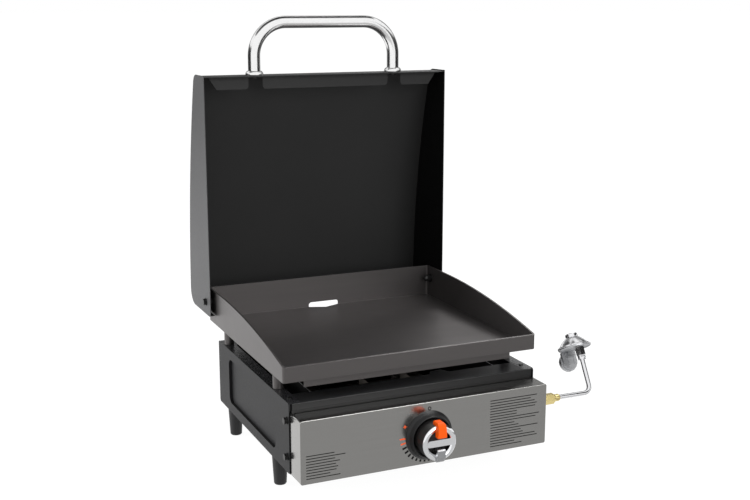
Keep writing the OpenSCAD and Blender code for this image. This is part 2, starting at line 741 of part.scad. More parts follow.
// The block stands before the ring's lower part, with an underside that slopes back to the rim
module block_shape(play) {
    w = block_w + 2 * play;
    low = -knob_r - block_drop - play;
    high = block_high + play;
    front = -block_out - play;
    back = block_back + play;
    along_x(-w / 2, w) polygon([[back, low], [-1.3 - play, low], [front, block_low], [front, high - 1.5],
        [front + 1.5, high], [back, high]]);
}
module knob_body() {
    length = knob_face - 6.5;
    color("#1f1f20") at_knob() difference() {
        union() {
            difference() {
                rod_y(3, length - 3, knob_r, 0, 0);
                rod_y(3 - cut, 6 + cut, knob_r - knob_rim, 0, 0);
                rod_y(14, length, knob_r - knob_rim, 0, 0);
            }
            rod_y(12, length - 14, 8, 0, 0);
        }
        rod_y(13, length, stem_r + thread_play, 0, 0);
        pointer_shape(0.05);
        block_shape(0.05);
    }
}
module knob_ring() {
    color("#cfcfd1") at_knob() difference() {
        union() {
            translate([0, 3, 0]) rotate([90, 0, 0]) rotate_extrude() polygon(concat(
                [[ring_inner_r, 0], [knob_r - 0.3, 0]],
                arc([ring_mid_r, ring_crown - ring_bow_r], ring_bow_r, ring_bow_a, 180 - ring_bow_a, 8)));
            box([-ring_inner_r - 2, 0.4, -bar_h / 2], [ring_inner_r + 2, 3, bar_h / 2]);
            box([-ring_inner_r + 1, 3, -bar_h / 2 + 1], [ring_inner_r - 1, 9, bar_h / 2 - 1]);
        }
        pointer_shape(0.05);
        block_shape(0.05);
    }
}
module knob_pointer() { color("#ff6423") at_knob() pointer_shape(0); }
module knob_block() { color("#b9babc") at_knob() block_shape(0); }
module valve_stem() {
    tip = plug_y + stem_in - push_travel;
    color("#b0b0ad") {
        rod_y(face_y + 14, tip - face_y - 14, stem_r, 0, knob_z);
        rod_y(bonnet_y + 2 + gap, 1.6, plug_r - 1, 0, knob_z);
    }
}
module valve_plug() {
    color("#b9a46a") difference() {
        rod_y(plug_y, plug_l, plug_r, 0, knob_z);
        rod_y(plug_y - cut, stem_in + 1 + cut, stem_r + running_fit, 0, knob_z);
        rod_y(plug_y + plug_l - 7, 8, 1.6, 0, knob_z);
    }
}

// Spark electrode on the burner, and the insulated lead to it from the valve's igniter
module igniter_electrode() {
    tip = electrode;
    start = tip[1] - insulator_l;
    color("#e8e4da") union() {
        rod_y(start, insulator_l, insulator_r, tip[0], tip[2]);
        rod_y(start - wire_in, wire_l, wire_r, tip[0], tip[2]);
        box([tip[0] - clip_half, start + clip_in, tray_z + sheet_t],
            [tip[0] + clip_half, start + clip_in + clip_t, tip[2] + clip_half]);
    }
}
module igniter_lead() {
    start = [0, valve_y + valve_l / 2, knob_z - valve_r];
    gx = rail_grommet[0];
    gz = rail_grommet[1];
    tx = tray_grommet[0];
    tz = tray_grommet[1];
    color("#c23a2a") swept_tube([start, start - [0, 0, 6], start + [4, 1, -11], start + [12, 4, -13],
        [gx - 8, base_front - 12, gz], [gx, base_front - 6, gz], [gx, base_front + 6, gz],
        [gx + 6, base_front + 18, gz + 6], [tx - 4, tray_front - 12, tz - 4], [tx, tray_front - 5, tz],
        [tx, tray_front + 6, tz], electrode - [0, 58, 3], electrode - [0, 50, 0], electrode - [0, 44, 0]],
        lead_r, 8);
}

// Rails on the back of the base that the grease cup slides out of
module grease_bracket() {
    y0 = base_back - base_corner_r;
    x1 = cup_x + cup_rim + gap + hanger_t;
    top = cup_z + cup_h + 4;
    ledge_z = cup_z + cup_h - cup_t - gap;
    color("#2e2e2f") difference() {
        union() {
            box([-x1, y0, top - hanger_h], [x1, y0 + hanger_t, top]);
            both_sides() {
                box([x1 - hanger_t, y0, top - hanger_arm_h], [x1, cup_y + cup_d, top]);
                box([cup_x + gap, y0, ledge_z - hanger_t], [x1, cup_y + cup_d, ledge_z]);
            }
        }
        for (x = cup_screw_x) rod_y(y0 - cut, hanger_t + 2 * cut, 2.5 + hole_play, x, cup_screw_z);
    }
}
module bracket_screws() {
    y0 = base_back - base_corner_r;
    color("#8d8d8d") for (x = cup_screw_x) {
        rod_y(y0 - 8, 9.5, 2.5, x, cup_screw_z);
        rod_y(y0 + hanger_t, 2, 4, x, cup_screw_z);
    }
}
module grease_cup() {
    low = [-cup_x, cup_y, cup_z];
    high = [cup_x, cup_y + cup_d, cup_z + cup_h];
    wall = [cup_t, cup_t, cup_t];
    color("#9a9a98") difference() {
        union() {
            translate([0, 0, cup_z]) linear_extrude(cup_h)
                round_rect([low[0], low[1]], [high[0], high[1]], 6);
            box([low[0] - cup_rim, low[1] + 6, high[2] - cup_t], [high[0] + cup_rim, high[1] - 6, high[2]]);
        }
        translate([0, 0, cup_z + cup_t]) linear_extrude(cup_h) round_rect([low[0] + cup_t, low[1] + cup_t],
            [high[0] - cup_t, high[1] - cup_t], 6 - cup_t);
    }
}

// The cooking plate with its walls, and the rim that sweeps down to the front
module griddle_plate() {
    arc_y = plate_back - rim_level;
    color("#56534f") difference() {
        intersection() {
            difference() {
                translate([0, 0, plate_z]) linear_extrude(back_wall_h)
                    round_rect([-plate_x, plate_front], [plate_x, plate_back], plate_corner_r);
                translate([0, 0, plate_top]) linear_extrude(back_wall_h)
                    round_rect([-plate_x + plate_t, plate_front + plate_t],
                        [plate_x - plate_t, plate_back - plate_t], plate_corner_r - plate_t + 1.5);
            }
            union() {
                box([-plate_x - cut, arc_y, plate_z - cut], [plate_x + cut, plate_back + cut, rim_z + cut]);
                rod_x(-plate_x - cut, plate_w + 2 * cut, rim_r, arc_y, rim_z - rim_r);
            }
        }
        along_y(plate_back - plate_t - cut, plate_t + 2 * cut)
            round_rect([-slot_w / 2, plate_z - 12], [slot_w / 2, plate_top + slot_h], 5);
        translate([0, plate_back, plate_z - cut]) linear_extrude(plate_t + 2 * cut)
            polygon([[-slot_w / 2, -plate_t], [slot_w / 2, -plate_t], [0, -notch_d]]);
        both_sides() rod_x(plate_x - plate_t - cut, plate_t + 2 * cut, hinge_r + hole_play, hinge_y, hinge_z);
    }
}
module plate_standoffs() {
    color("#55524e") both_sides() for (y = [standoff_front, standoff_back])
        translate([standoff_x, y, base_top + gap]) cylinder(h = standoff_h - gap, r = standoff_r);
}
// Angle under the plate, with its upright leg at y0 and its foot on the side that dir points to
module stiffener(y0, dir) {
    along_x(-stiffener_x, 2 * stiffener_x) polygon([[y0, plate_z], [y0, plate_z - stiffener_h],
        [y0 + dir * stiffener_t, plate_z - stiffener_h], [y0 + dir * stiffener_t, plate_z - stiffener_t],
        [y0 + dir * stiffener_d, plate_z - stiffener_t], [y0 + dir * stiffener_d, plate_z]]);
}
module front_stiffener() { color("#4d4b47") stiffener(plate_front + front_stiffener_in, 1); }
module rear_stiffener() { color("#4d4b47") stiffener(rear_stiffener_y, -1); }
// Splash guard behind the grease slot: two cheeks and a steep floor that ends over the cup
module grease_spout() {
    x1 = spout_w / 2;
    y1 = plate_back + spout_l;
    z0 = plate_z - spout_drop;
    z1 = z0 - spout_drop;
    color("#4d4b47") {
        along_x(-x1, spout_w)
            polygon([[plate_back, z0 - spout_t], [plate_back, z0], [y1, z1], [y1, z1 - spout_t]]);
        for (x = [-x1, x1 - spout_t]) along_x(x, spout_t) polygon([[plate_back, z0 - spout_t],
            [plate_back, plate_top], [y1, z1 + spout_drop], [y1, z1 - spout_t]]);
    }
}

// Hinge on each side: a bolt fixed in the plate's wall, with the hood's side turning on it
module hinge_bolts() {
    head_x = hood_x + gap;
    end_x = plate_x - plate_t - washer_t - acorn_hex_l - acorn_neck / 2;
    color("#161616") both_sides() {
        rod_x(end_x, head_x - end_x, hinge_r, hinge_y, hinge_z);
        rod_x(head_x, washer_t, hinge_washer_r, hinge_y, hinge_z);
        translate([head_x + washer_t, hinge_y, hinge_z]) rotate([0, 90, 0]) hex(hinge_head_af, hinge_head_h);
    }
}
module hinge_spacers() {
    l = hood_x - hood_t - gap - plate_x;
    color("#1d1d1d") both_sides() difference() {
        rod_x(plate_x, l, 7.5, hinge_y, hinge_z);
        rod_x(plate_x - cut, l + 2 * cut, hinge_r + thread_play, hinge_y, hinge_z);
    }
}
module acorn_nuts() {
    x1 = plate_x - plate_t;
    hex_x = x1 - washer_t - acorn_hex_l;
    dome_x = hex_x - acorn_neck;
    color("#161616") both_sides() difference() {
        union() {
            rod_x(x1 - washer_t, washer_t, acorn_washer_r, hinge_y, hinge_z);
            translate([hex_x, hinge_y, hinge_z]) rotate([0, 90, 0]) hex(acorn_af, acorn_hex_l);
            rod_x(dome_x, acorn_neck, acorn_dome_r, hinge_y, hinge_z);
            translate([dome_x, hinge_y, hinge_z]) sphere(acorn_dome_r);
        }
        rod_x(dome_x, x1 - dome_x + cut, hinge_r + thread_play, hinge_y, hinge_z);
    }
}

// The hood's bent sheet: front wall, bowed roof and back wall
module hood_shell() {
    x1 = hood_x - hood_t;
    back_z = hood_bottom + side_proud;
    outer = concat([[hood_edge_y, hood_top - side_proud]], roof_path(side_proud), [[back_wall_y, back_z]]);
    inner = concat([[hood_edge_y, hood_top - wall_in]], roof_path(wall_in), [[back_wall_y, back_z + hood_t]]);
    color("#2a2a2b") difference() {
        union() {
            along_x(-x1, 2 * x1) polygon(concat(outer, reversed(inner)));
            both_sides() box([x1 - ear_w, hood_edge_y + 2, back_z], [x1, back_wall_y, back_z + hood_t]);
        }
        for (x = [-handle_x, handle_x]) translate([x, handle_y, hood_top - wall_in - cut])
            cylinder(h = 3 * cut + hood_t, r = handle_screw_r + hole_play);
    }
}
module hood_side() {
    corner_r = 8;
    color("#3a3a3b") difference() {
        along_x(-hood_x, hood_t) polygon(concat([[hood_edge_y, hood_top]], roof_path(0),
            arc([hood_edge_y + corner_r, hood_bottom + corner_r], corner_r, -90, -180, 5)));
        rod_x(-hood_x - cut, hood_t + 2 * cut, hinge_bore_r, hinge_y, hinge_z);
    }
}
module hood_left_side() { hood_side(); }
module hood_right_side() { mirror([1, 0, 0]) hood_side(); }
// Tabs of the flange inside the front wall, which rests on the plate's front wall when the hood is closed
module lip_tab(x0, x1, slant0, slant1) {
    r = 6;
    polygon(concat([[x0, lip_z], [x1, lip_z]],
        slant1 > 0 ? [[x1 - slant1, lip_z - lip_d]] : arc([x1 - r, lip_z - lip_d + r], r, 0, -90, 5),
        slant0 > 0 ? [[x0 + slant0, lip_z - lip_d]] : arc([x0 + r, lip_z - lip_d + r], r, -90, -180, 5)));
}
module hood_lip() {
    x_end = hood_x - lip_end;
    n0 = handle_x - lip_notch / 2;
    n1 = handle_x + lip_notch / 2;
    slant = 15;
    color("#3c3c3d") {
        along_y(lip_y, hood_t) {
            lip_tab(-x_end, -n1, slant, 0);
            lip_tab(-n0, n0, 0, 0);
            lip_tab(n1, x_end, 0, slant);
        }
        difference() {
            box([-x_end, hood_edge_y + 1, lip_z - hood_t], [x_end, lip_y, lip_z]);
            for (x = [-handle_x, handle_x]) translate([x, handle_y, lip_z - hood_t - cut])
                cylinder(h = hood_t + 2 * cut, r = lip_notch / 2);
        }
    }
}

// Handle: a bent tube on two collars, screwed on from inside the front wall
module handle_path(r) {
    straight = handle_z - handle_bend_r - handle_foot_z;
    both_sides() {
        translate([handle_x, handle_y, handle_foot_z]) cylinder(h = straight, r = r);
        translate([handle_x - handle_bend_r, handle_y, handle_z - handle_bend_r]) rotate([90, 0, 0])
            rotate_extrude(angle = 90) translate([handle_bend_r, 0]) circle(r);
    }
    rod_x(-handle_x + handle_bend_r, handle_span - 2 * handle_bend_r, r, handle_y, handle_z);
}
module handle_tube() {
    color("#c9cacc") difference() {
        handle_path(handle_r);
        difference() {
            handle_path(handle_r - handle_wall);
            both_sides() translate([handle_x, handle_y, handle_foot_z - cut])
                cylinder(h = handle_plug + cut, r = handle_r + cut);
        }
        both_sides() translate([handle_x, handle_y, handle_foot_z - cut])
            cylinder(h = handle_plug, r = handle_screw_r);
    }
}
module handle_collars() {
    bore_r = handle_r + thread_play;
    color("#c9cacc") both_sides() translate([handle_x, handle_y, handle_foot_z]) rotate_extrude()
        polygon([[bore_r, 0], [collar_r, 0], [collar_r + 0.4, 1.5], [collar_r, 4], [collar_r - 1.2, 6.2],
            [collar_r - 2.8, collar_h], [bore_r, collar_h]]);
}
module handle_screws() {
    z0 = hood_top - wall_in;
    color("#161616") both_sides() translate([handle_x, handle_y, 0]) {
        translate([0, 0, z0 - 4]) cylinder(h = 4, r = 5.2);
        translate([0, 0, z0]) cylinder(h = 12, r = handle_screw_r - thread_play);
    }
}

// The gas arm is drawn upright, then leans back about the inlet's axis
module at_arm() { translate([0, inlet_y, inlet_z]) rotate([-arm_lean, 0, 0]) children(); }
module swivel_nut() {
    color("#c9b36a") at_arm() difference() {
        union() {
            translate([nut_x, 0, 0]) rotate([0, 90, 0]) hex(nut_af, nut_l - 3);
            translate([nut_x + nut_l - 3, 0, 0]) rotate([0, 90, 0]) cylinder(h = 3, r1 = 7.9, r2 = 6.4);
        }
        rod_x(nut_x - cut, pipe_end - nut_x + gap + cut, pipe_r + running_fit, 0, 0);
        rod_x(nut_x, nut_l + cut, tube_r + thread_play, 0, 0);
    }
}
module tube_ferrule() {
    x0 = nut_x + nut_l;
    color("#c9b36a") at_arm() difference() {
        union() {
            rod_x(x0, ferrule_l - 2, ferrule_r, 0, 0);
            translate([x0 + ferrule_l - 2, 0, 0]) rotate([0, 90, 0])
                cylinder(h = 2, r1 = ferrule_r, r2 = ferrule_r - 1.2);
        }
        rod_x(x0 - cut, ferrule_l + 2 * cut, tube_r + thread_play, 0, 0);
    }
}
module gas_tube() {
    x0 = pipe_end + 2 * gap;
    bore_r = tube_r - 1;
    color("#b9babc") at_arm() difference() {
        union() {
            rod_x(x0, arm_x - tube_bend_r - x0, tube_r, 0, 0);
            translate([arm_x - tube_bend_r, 0, tube_bend_r]) rotate([90, 0, 0])
                rotate_extrude(angle = -90) translate([tube_bend_r, 0]) circle(tube_r);
            translate([arm_x, 0, tube_bend_r]) cylinder(h = outlet_z + 6 - tube_bend_r, r = tube_r);
        }
        rod_x(x0 - cut, arm_x - tube_bend_r - x0 + cut, bore_r, 0, 0);
        translate([arm_x - tube_bend_r, 0, tube_bend_r]) rotate([90, 0, 0])
            rotate_extrude(angle = -90) translate([tube_bend_r, 0]) circle(bore_r);
        translate([arm_x, 0, tube_bend_r]) cylinder(h = outlet_z, r = bore_r);
    }
}
module outlet_nut() {
    top = regulator_up - dish_h;
    color("#bfc0c2") at_arm() translate([arm_x, 0, 0]) difference() {
        union() {
            translate([0, 0, outlet_z]) cylinder(h = outlet_flange_h, r = outlet_flange_r);
            translate([0, 0, outlet_z + outlet_flange_h]) hex(outlet_af, top - outlet_z - outlet_flange_h);
        }
        translate([0, 0, outlet_z - cut]) cylinder(h = 6 + cut, r = tube_r + thread_play);
        translate([0, 0, outlet_z + 5]) cylinder(h = top, r = 2.5);
    }
}
// Regulator: crimped dome over a die-cast housing, with the inlet for the gas cylinder at the back
module at_disc() { at_arm() translate([arm_x, disc_y, regulator_up]) children(); }
module regulator_dome() {
    color("#d3d4d6") at_disc() difference() {
        rotate_extrude() polygon([[0, 0.2], [regulator_r - 1, 0.2], [regulator_r, 1],
            [regulator_r - 0.4, 2.4], [regulator_r - 2.5, 3], [24, 4.8], [20.7, 8.6], [16.6, 12.8],
            [12.8, 16], [10.2, 17.5], [0, 17.5]]);
        rotate_extrude() polygon([[0, 0], [22, 0], [22, 3.4], [19, 7.2], [15, 11.4], [9.5, 15.5], [0, 15.5]]);
    }
}
module regulator_cap() {
    color("#bfc0c2") at_disc() translate([0, 0, 17.52]) difference() {
        rotate_extrude() polygon([[0, 0], [10.2, 0], [10.4, 1], [10.4, 4.6], [9.6, 5.6], [0, 5.6]]);
        translate([0, 0, 4.6]) cylinder(h = 2, r = 6.5);
    }
}
module boss_outline(r) {
    rotate([90, 0, 0]) linear_extrude(slab_t) intersection() {
        union() {
            translate([0, -boss_drop]) circle(r);
            translate([-r, -boss_drop]) square([2 * r, boss_drop]);
        }
        translate([-r, -boss_drop - r]) square([2 * r, boss_drop + r - 2.5]);
    }
}
module regulator_housing() {
    b = slab_y - disc_y;
    color("#a7a8aa") at_disc() difference() {
        union() {
            rotate_extrude() polygon([[0, -dish_h], [20, -dish_h], [24, -2.6], [regulator_r - 2, -2.4],
                [regulator_r - 0.6, -1.4], [regulator_r - 0.4, 0.2], [0, 0.2]]);
            translate([0, b + slab_t, 0]) boss_outline(boss_r);
            box([-7, 12, -12], [7, b, -dish_h + 0.5]);
            difference() {
                box([-4.5, b - 1, -boss_drop - 7], [8.5, b, -boss_drop + 6.5]);
                box([-2.5, b - 1 - cut, -boss_drop - 5], [6.5, b, -boss_drop + 4.5]);
            }
        }
        rotate_extrude() polygon([[0, -dish_h + 1.5], [20, -dish_h + 1.5], [22, 0], [22, cut], [0, cut]]);
    }
}
module cylinder_collar() {
    flute_n = 36;
    depth = 0.6;
    color("#77787a") at_disc() translate([0, slab_y - disc_y + slab_t, -boss_drop]) rotate([-90, 0, 0])
        difference() {
            linear_extrude(collar_l) polygon([for (i = [0:2 * flute_n - 1])
                (collar_out_r - (i % 2) * depth) * [cos(180 * i / flute_n), sin(180 * i / flute_n)]]);
            translate([0, 0, -cut]) cylinder(h = collar_l + 2 * cut, r = cylinder_bore_r);
        }
}

left_side_panel();
right_side_panel();
front_rail();
rear_panel();
burner_tray();
control_panel();
panel_brackets();
side_bolts();
rail_screws();
foot_front_left();
foot_front_right();
foot_rear_left();
foot_rear_right();
foot_screws();
burner();
burner_rests();
burner_bracket();
valve_body();
valve_bonnet();
valve_screws();
gas_orifice();
inlet_pipe();
inlet_locknut();
knob_bezel();
igniter_electrode();
igniter_lead();
grease_bracket();
bracket_screws();
griddle_plate();
plate_standoffs();
front_stiffener();
rear_stiffener();
grease_spout();
hinge_bolts();
hinge_spacers();
acorn_nuts();
hood_shell();
hood_left_side();
hood_right_side();
hood_lip();
handle_tube();
handle_collars();
handle_screws();
valve_plug();
valve_stem();
knob_body();
knob_ring();
knob_pointer();
knob_block();
swivel_nut();
tube_ferrule();
gas_tube();
outlet_nut();
regulator_dome();
regulator_cap();
regulator_housing();
cylinder_collar();
grease_cup();
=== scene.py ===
import math
import bmesh
import bpy
from mathutils import Matrix, Vector


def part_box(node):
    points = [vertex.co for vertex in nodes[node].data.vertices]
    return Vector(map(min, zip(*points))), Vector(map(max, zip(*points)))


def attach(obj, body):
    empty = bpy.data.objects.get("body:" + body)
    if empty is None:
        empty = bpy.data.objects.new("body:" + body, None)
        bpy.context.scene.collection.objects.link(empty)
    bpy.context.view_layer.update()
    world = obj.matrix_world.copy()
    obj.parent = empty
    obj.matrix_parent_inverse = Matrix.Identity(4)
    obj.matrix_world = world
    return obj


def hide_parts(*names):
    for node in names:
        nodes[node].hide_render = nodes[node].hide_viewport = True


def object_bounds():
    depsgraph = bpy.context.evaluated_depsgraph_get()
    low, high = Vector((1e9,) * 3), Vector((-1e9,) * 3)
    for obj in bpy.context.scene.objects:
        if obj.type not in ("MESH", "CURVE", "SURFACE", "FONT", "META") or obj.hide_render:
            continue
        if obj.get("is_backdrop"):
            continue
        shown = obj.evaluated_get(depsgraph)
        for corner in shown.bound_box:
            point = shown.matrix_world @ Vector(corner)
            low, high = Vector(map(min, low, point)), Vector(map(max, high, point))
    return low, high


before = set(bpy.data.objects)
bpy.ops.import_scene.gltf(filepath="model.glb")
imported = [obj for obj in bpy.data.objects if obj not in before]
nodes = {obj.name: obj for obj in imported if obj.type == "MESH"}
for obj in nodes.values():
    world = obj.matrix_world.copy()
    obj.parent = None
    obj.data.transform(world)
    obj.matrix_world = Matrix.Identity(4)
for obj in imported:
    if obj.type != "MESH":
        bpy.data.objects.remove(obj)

cad_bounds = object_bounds()
scene = bpy.context.scene
scene.view_settings.view_transform = "Standard"


# ---------------------------------------------------------------- camera
# A normal lens on a full frame, as high as the open hood's handle and to the left of the front. It
# looks slightly down.
look_down, look_right = 12.1255, 24.047
camera_data = bpy.data.cameras.new("camera")
camera_data.lens = 54.97
camera_data.sensor_width = 36
camera = bpy.data.objects.new("camera", camera_data)
camera.location = (-0.74605, -1.69381, 0.73451)
camera.rotation_euler = (math.radians(90 - look_down), 0, math.radians(-look_right))
scene.collection.objects.link(camera)
scene.camera = camera


# ---------------------------------------------------------------- studio
# A white room: a wide pale floor that takes the shadow, an even white surround, a broad soft lamp
# at the left rear with three weaker ones, and screens and cards that only gloss sees.
def linear(colour):
    """An sRGB hex colour such as "#807f7c" as linear red, green, blue and alpha."""
    parts = [int(colour[i:i + 2], 16) / 255 for i in (1, 3, 5)]
    return (*(p / 12.92 if p <= 0.04045 else ((p + 0.055) / 1.055) ** 2.4 for p in parts), 1.0)


def add(tree, kind, inputs=(), **settings):
    """Adds a node. inputs maps a socket to a value, to an output, or to a node's first output."""
    node = tree.nodes.new(kind)
    for name, value in settings.items():
        setattr(node, name, value)
    for socket, value in dict(inputs).items():
        if isinstance(value, bpy.types.Node):
            value = value.outputs[0]
        if isinstance(value, bpy.types.NodeSocket):
            tree.links.new(value, node.inputs[socket])
        else:
            node.inputs[socket].default_value = value
    return node


def seen_directly(tree):
    """1 for rays from the camera, from gloss and through clear things, and 0 for others."""
    path = add(tree, "ShaderNodeLightPath").outputs
    gloss = add(tree, "ShaderNodeMath", {0: path["Is Camera Ray"], 1: path["Is Glossy Ray"]},
                operation="MAXIMUM")
    return add(tree, "ShaderNodeMath", {0: gloss, 1: path["Is Transmission Ray"]},
               operation="MAXIMUM")


white = (1, 1, 1, 1)
surround_level = 0.5
world = bpy.data.worlds.new("white surround")
world.use_nodes = True
tree = world.node_tree
tree.nodes.clear()
level = add(tree, "ShaderNodeMapRange",
            {"Value": seen_directly(tree), "To Min": surround_level, "To Max": 1.0})
glow = add(tree, "ShaderNodeBackground", {"Color": white, "Strength": level})
add(tree, "ShaderNodeOutputWorld", {"Surface": glow})
scene.world = world

# Seen directly, the floor gives 88% of its own white light. The rest is matt paint, which keeps the
# object's shadow.
floor_reach, floor_glow, glow_share = 90, 1.1, 0.88
floor_mesh = bpy.data.meshes.new("floor")
floor_mesh.from_pydata([(-floor_reach, -floor_reach, 0), (floor_reach, -floor_reach, 0),
                        (floor_reach, floor_reach, 0), (-floor_reach, floor_reach, 0)],
                       [], [(0, 1, 2, 3)])
floor = bpy.data.objects.new("floor", floor_mesh)
scene.collection.objects.link(floor)
floor_paint = bpy.data.materials.new("pale matt floor")
floor_paint.use_nodes = True
tree = floor_paint.node_tree
tree.nodes.clear()
matt = add(tree, "ShaderNodeBsdfDiffuse", {"Color": linear("#efefef")})
shine = add(tree, "ShaderNodeEmission", {"Color": white, "Strength": floor_glow})
share = add(tree, "ShaderNodeMath", {0: seen_directly(tree), 1: glow_share}, operation="MULTIPLY")
mixed = add(tree, "ShaderNodeMixShader", {0: share, 1: matt, 2: shine})
add(tree, "ShaderNodeOutputMaterial", {"Surface": mixed})
floor_mesh.materials.append(floor_paint)
floor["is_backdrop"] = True

# The lamps leave out the polished metal, which would show them as hard white squares. The sections
# of the gas arm and the handle put their pieces into this collection.
bright_metal = bpy.data.collections.new("bright metal, lit by the room alone")
for name, place, aim, size, power in (
        ("left lamp", (-2.3, 1.2, 0.7), (0, 0, 0.3), 1.3, 47),
        ("top lamp", (0.9, -0.6, 2.6), (0, 0, 0.2), 1.4, 26),
        ("front lamp", (0.6, -3.0, 1.3), (0, 0, 0.3), 1.8, 34),
        ("right rear lamp", (1.2, 1.2, 1.8), (0.1, 0, 0.2), 0.8, 22)):
    lamp = bpy.data.lights.new(name, "AREA")
    lamp.shape = "SQUARE"
    lamp.size = size
    lamp.energy = power
    holder = bpy.data.objects.new(name, lamp)
    holder.location = place
    holder.rotation_euler = (Vector(aim) - Vector(place)).to_track_quat("-Z", "Y").to_euler()
    scene.collection.objects.link(holder)
    holder.light_linking.receiver_collection = bright_metal


def card(name, corners, level):
    """A sheet between two rows of corners, given in turn, that only gloss sees, at this level."""
    paint = bpy.data.materials.new(name)
    paint.use_nodes = True
    paint.node_tree.nodes.clear()
    shine = add(paint.node_tree, "ShaderNodeEmission", {"Color": white, "Strength": level})
    add(paint.node_tree, "ShaderNodeOutputMaterial", {"Surface": shine})
    sheet = bpy.data.meshes.new(name)
    sheet.from_pydata(corners, [],
                      [(i, i + 1, i + 3, i + 2) for i in range(0, len(corners) - 2, 2)])
    sheet.materials.append(paint)
    holder = bpy.data.objects.new(name, sheet)
    holder.visible_camera = False
    holder.visible_diffuse = False
    holder.visible_transmission = False
    holder.visible_shadow = False
    scene.collection.objects.link(holder)
    holder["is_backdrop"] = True


# The screens stand round the open hood, 1 m from it, and give the bright metal its dark outlines.
screen_radius, screen_centre_y = 1.0, 0.19
for name, level, turns, low, high in (
        ("grey screen behind", 0.25, (-30, -8, 14, 36, 58, 80), 0.41, 1.4),
        ("black screen at the left", 0.03, (-100, -82, -64, -47, -30), 0.3, 0.9),
        ("black screen at the right", 0.03, (80, 96, 112, 128, 144), 0.3, 0.95)):
    corners = []
    for turn in turns:
        x = screen_radius * math.sin(math.radians(turn))
        y = screen_centre_y + screen_radius * math.cos(math.radians(turn))
        corners += [(x, y, low), (x, y, high)]
    card(name, corners, level)

# The black ceiling hangs over the handle, and the other cards lie on the floor.
for name, level, height, places in (
        ("black ceiling", 0.03, 1.1, ((-0.6, 0.07), (-0.6, 0.46), (0.4, 0.07), (0.4, 0.46))),
        ("dark floor card behind", 0.1, 0.002,
         ((-0.25, 0.45), (-0.25, 3.0), (2.6, -0.1), (2.6, 3.0))),
        ("dark floor card beside", 0.1, 0.002,
         ((0.24, -0.05), (0.24, 0.45), (0.75, -0.05), (0.75, 0.45))),
        ("black floor card at the right", 0.04, 0.003,
         ((0.75, -1.3), (0.75, -0.1), (2.6, -1.3), (2.6, -0.1))),
        ("grey floor card before", 0.6, 0.002,
         ((-0.6, -4.0), (-0.6, -0.245), (0.75, -4.0), (0.75, -0.245)))):
    card(name, [(x, y, height) for x, y in places], level)


# ---------------------------------------------------------------- side panels
# Two pressed panels of 1.2 mm mild steel, folded in at the top and the bottom, powder coated dark
# grey outside. Their inside and bottom folds are painted near black as shade, and their top
# flanges are painted lighter and glossier as light.
mix_share, mix_a, mix_b, mix_out = 0, 6, 7, 2       # the sockets that a Mix node uses for colours
looks_up = 0.9                                      # the least normal.z of a face that looks up


def started(name):
    """An empty material with its tree and its Object coordinates."""
    material = bpy.data.materials.new(name)
    material.use_nodes = True
    tree = material.node_tree
    tree.nodes.clear()
    return material, tree, add(tree, "ShaderNodeTexCoord").outputs["Object"]


def surfaced(tree, inputs):
    """Ends a material's tree in one Principled shader with these inputs."""
    shader = add(tree, "ShaderNodeBsdfPrincipled", inputs)
    add(tree, "ShaderNodeOutputMaterial", {"Surface": shader})


def powder_coat(name, dark, light, roughness, gloss):
    # Powder coat on steel: a satin skin with an orange peel of about 2 mm, drawn at 3 mm so that it
    # shows, and a slow drift in tone over a hand's breadth, 110 mm.
    drift_scale, peel_scale, peel_height, gloss_play = 9.0, 330.0, 0.0004, 0.06
    material, tree, place = started(name)
    drift = add(tree, "ShaderNodeTexNoise", {"Vector": place, "Scale": drift_scale, "Detail": 3.0})
    tone = add(tree, "ShaderNodeMix",
               {mix_share: drift, mix_a: linear(dark), mix_b: linear(light)}, data_type="RGBA")
    peel = add(tree, "ShaderNodeTexNoise", {"Vector": place, "Scale": peel_scale, "Detail": 2.0})
    sheen = add(tree, "ShaderNodeMapRange", {"Value": peel, "To Min": roughness - gloss_play,
                                             "To Max": roughness + gloss_play})
    bump = add(tree, "ShaderNodeBump", {"Strength": 0.12, "Distance": peel_height, "Height": peel})
    surfaced(tree, {"Base Color": tone.outputs[mix_out], "Roughness": sheen,
                    "Specular IOR Level": gloss, "Normal": bump})
    return material


def dressed(node, material, body, round_off=0.0, angle=28.0, painted_light=None, gets_painted_light=None,
            cut=None, chosen=None):
    """A copy of a CAD solid with its triangles joined, its curves smooth and its edges rounded.

    Faces for which gets_painted_light(centre, normal) holds take the material painted_light, a copy
    of the finish that paints shade or a highlight onto them. cut(work) may add cuts to its bmesh.
    chosen(mesh) may list the edges to round, instead of all that are sharper than angle, in
    degrees."""
    same_place, same_plane = 0.000002, math.radians(0.4)
    mesh = nodes[node].data.copy()
    mesh.name = node + "_finished"
    work = bmesh.new()
    work.from_mesh(mesh)
    bmesh.ops.remove_doubles(work, verts=work.verts, dist=same_place)
    bmesh.ops.dissolve_limit(work, angle_limit=same_plane, verts=work.verts, edges=work.edges)
    if cut:
        cut(work)
    work.to_mesh(mesh)
    work.free()
    mesh.materials.clear()
    mesh.materials.append(material)
    if painted_light:
        mesh.materials.append(painted_light)
    for face in mesh.polygons:
        face.use_smooth = True
        face.material_index = 1 if painted_light and gets_painted_light(face.center, face.normal) else 0
    piece = bpy.data.objects.new(mesh.name, mesh)
    scene.collection.objects.link(piece)
    if round_off:
        edge = piece.modifiers.new("rounded edges", "BEVEL")
        edge.width = round_off
        edge.segments = 2
        edge.limit_method = "ANGLE"
        edge.angle_limit = math.radians(angle)
        if chosen:
            edge.limit_method = "WEIGHT"
            edge.segments = 4
            picked = chosen(mesh)
            weights = mesh.attributes.new("bevel_weight_edge", "FLOAT", "EDGE").data
            for index in picked:
                weights[index].value = 1.0
        piece.modifiers.new("flat faces stay flat", "WEIGHTED_NORMAL").weight = 100
    else:
        mesh.set_sharp_from_angle(angle=math.radians(angle))
    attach(piece, body)
    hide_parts(node)
    return piece


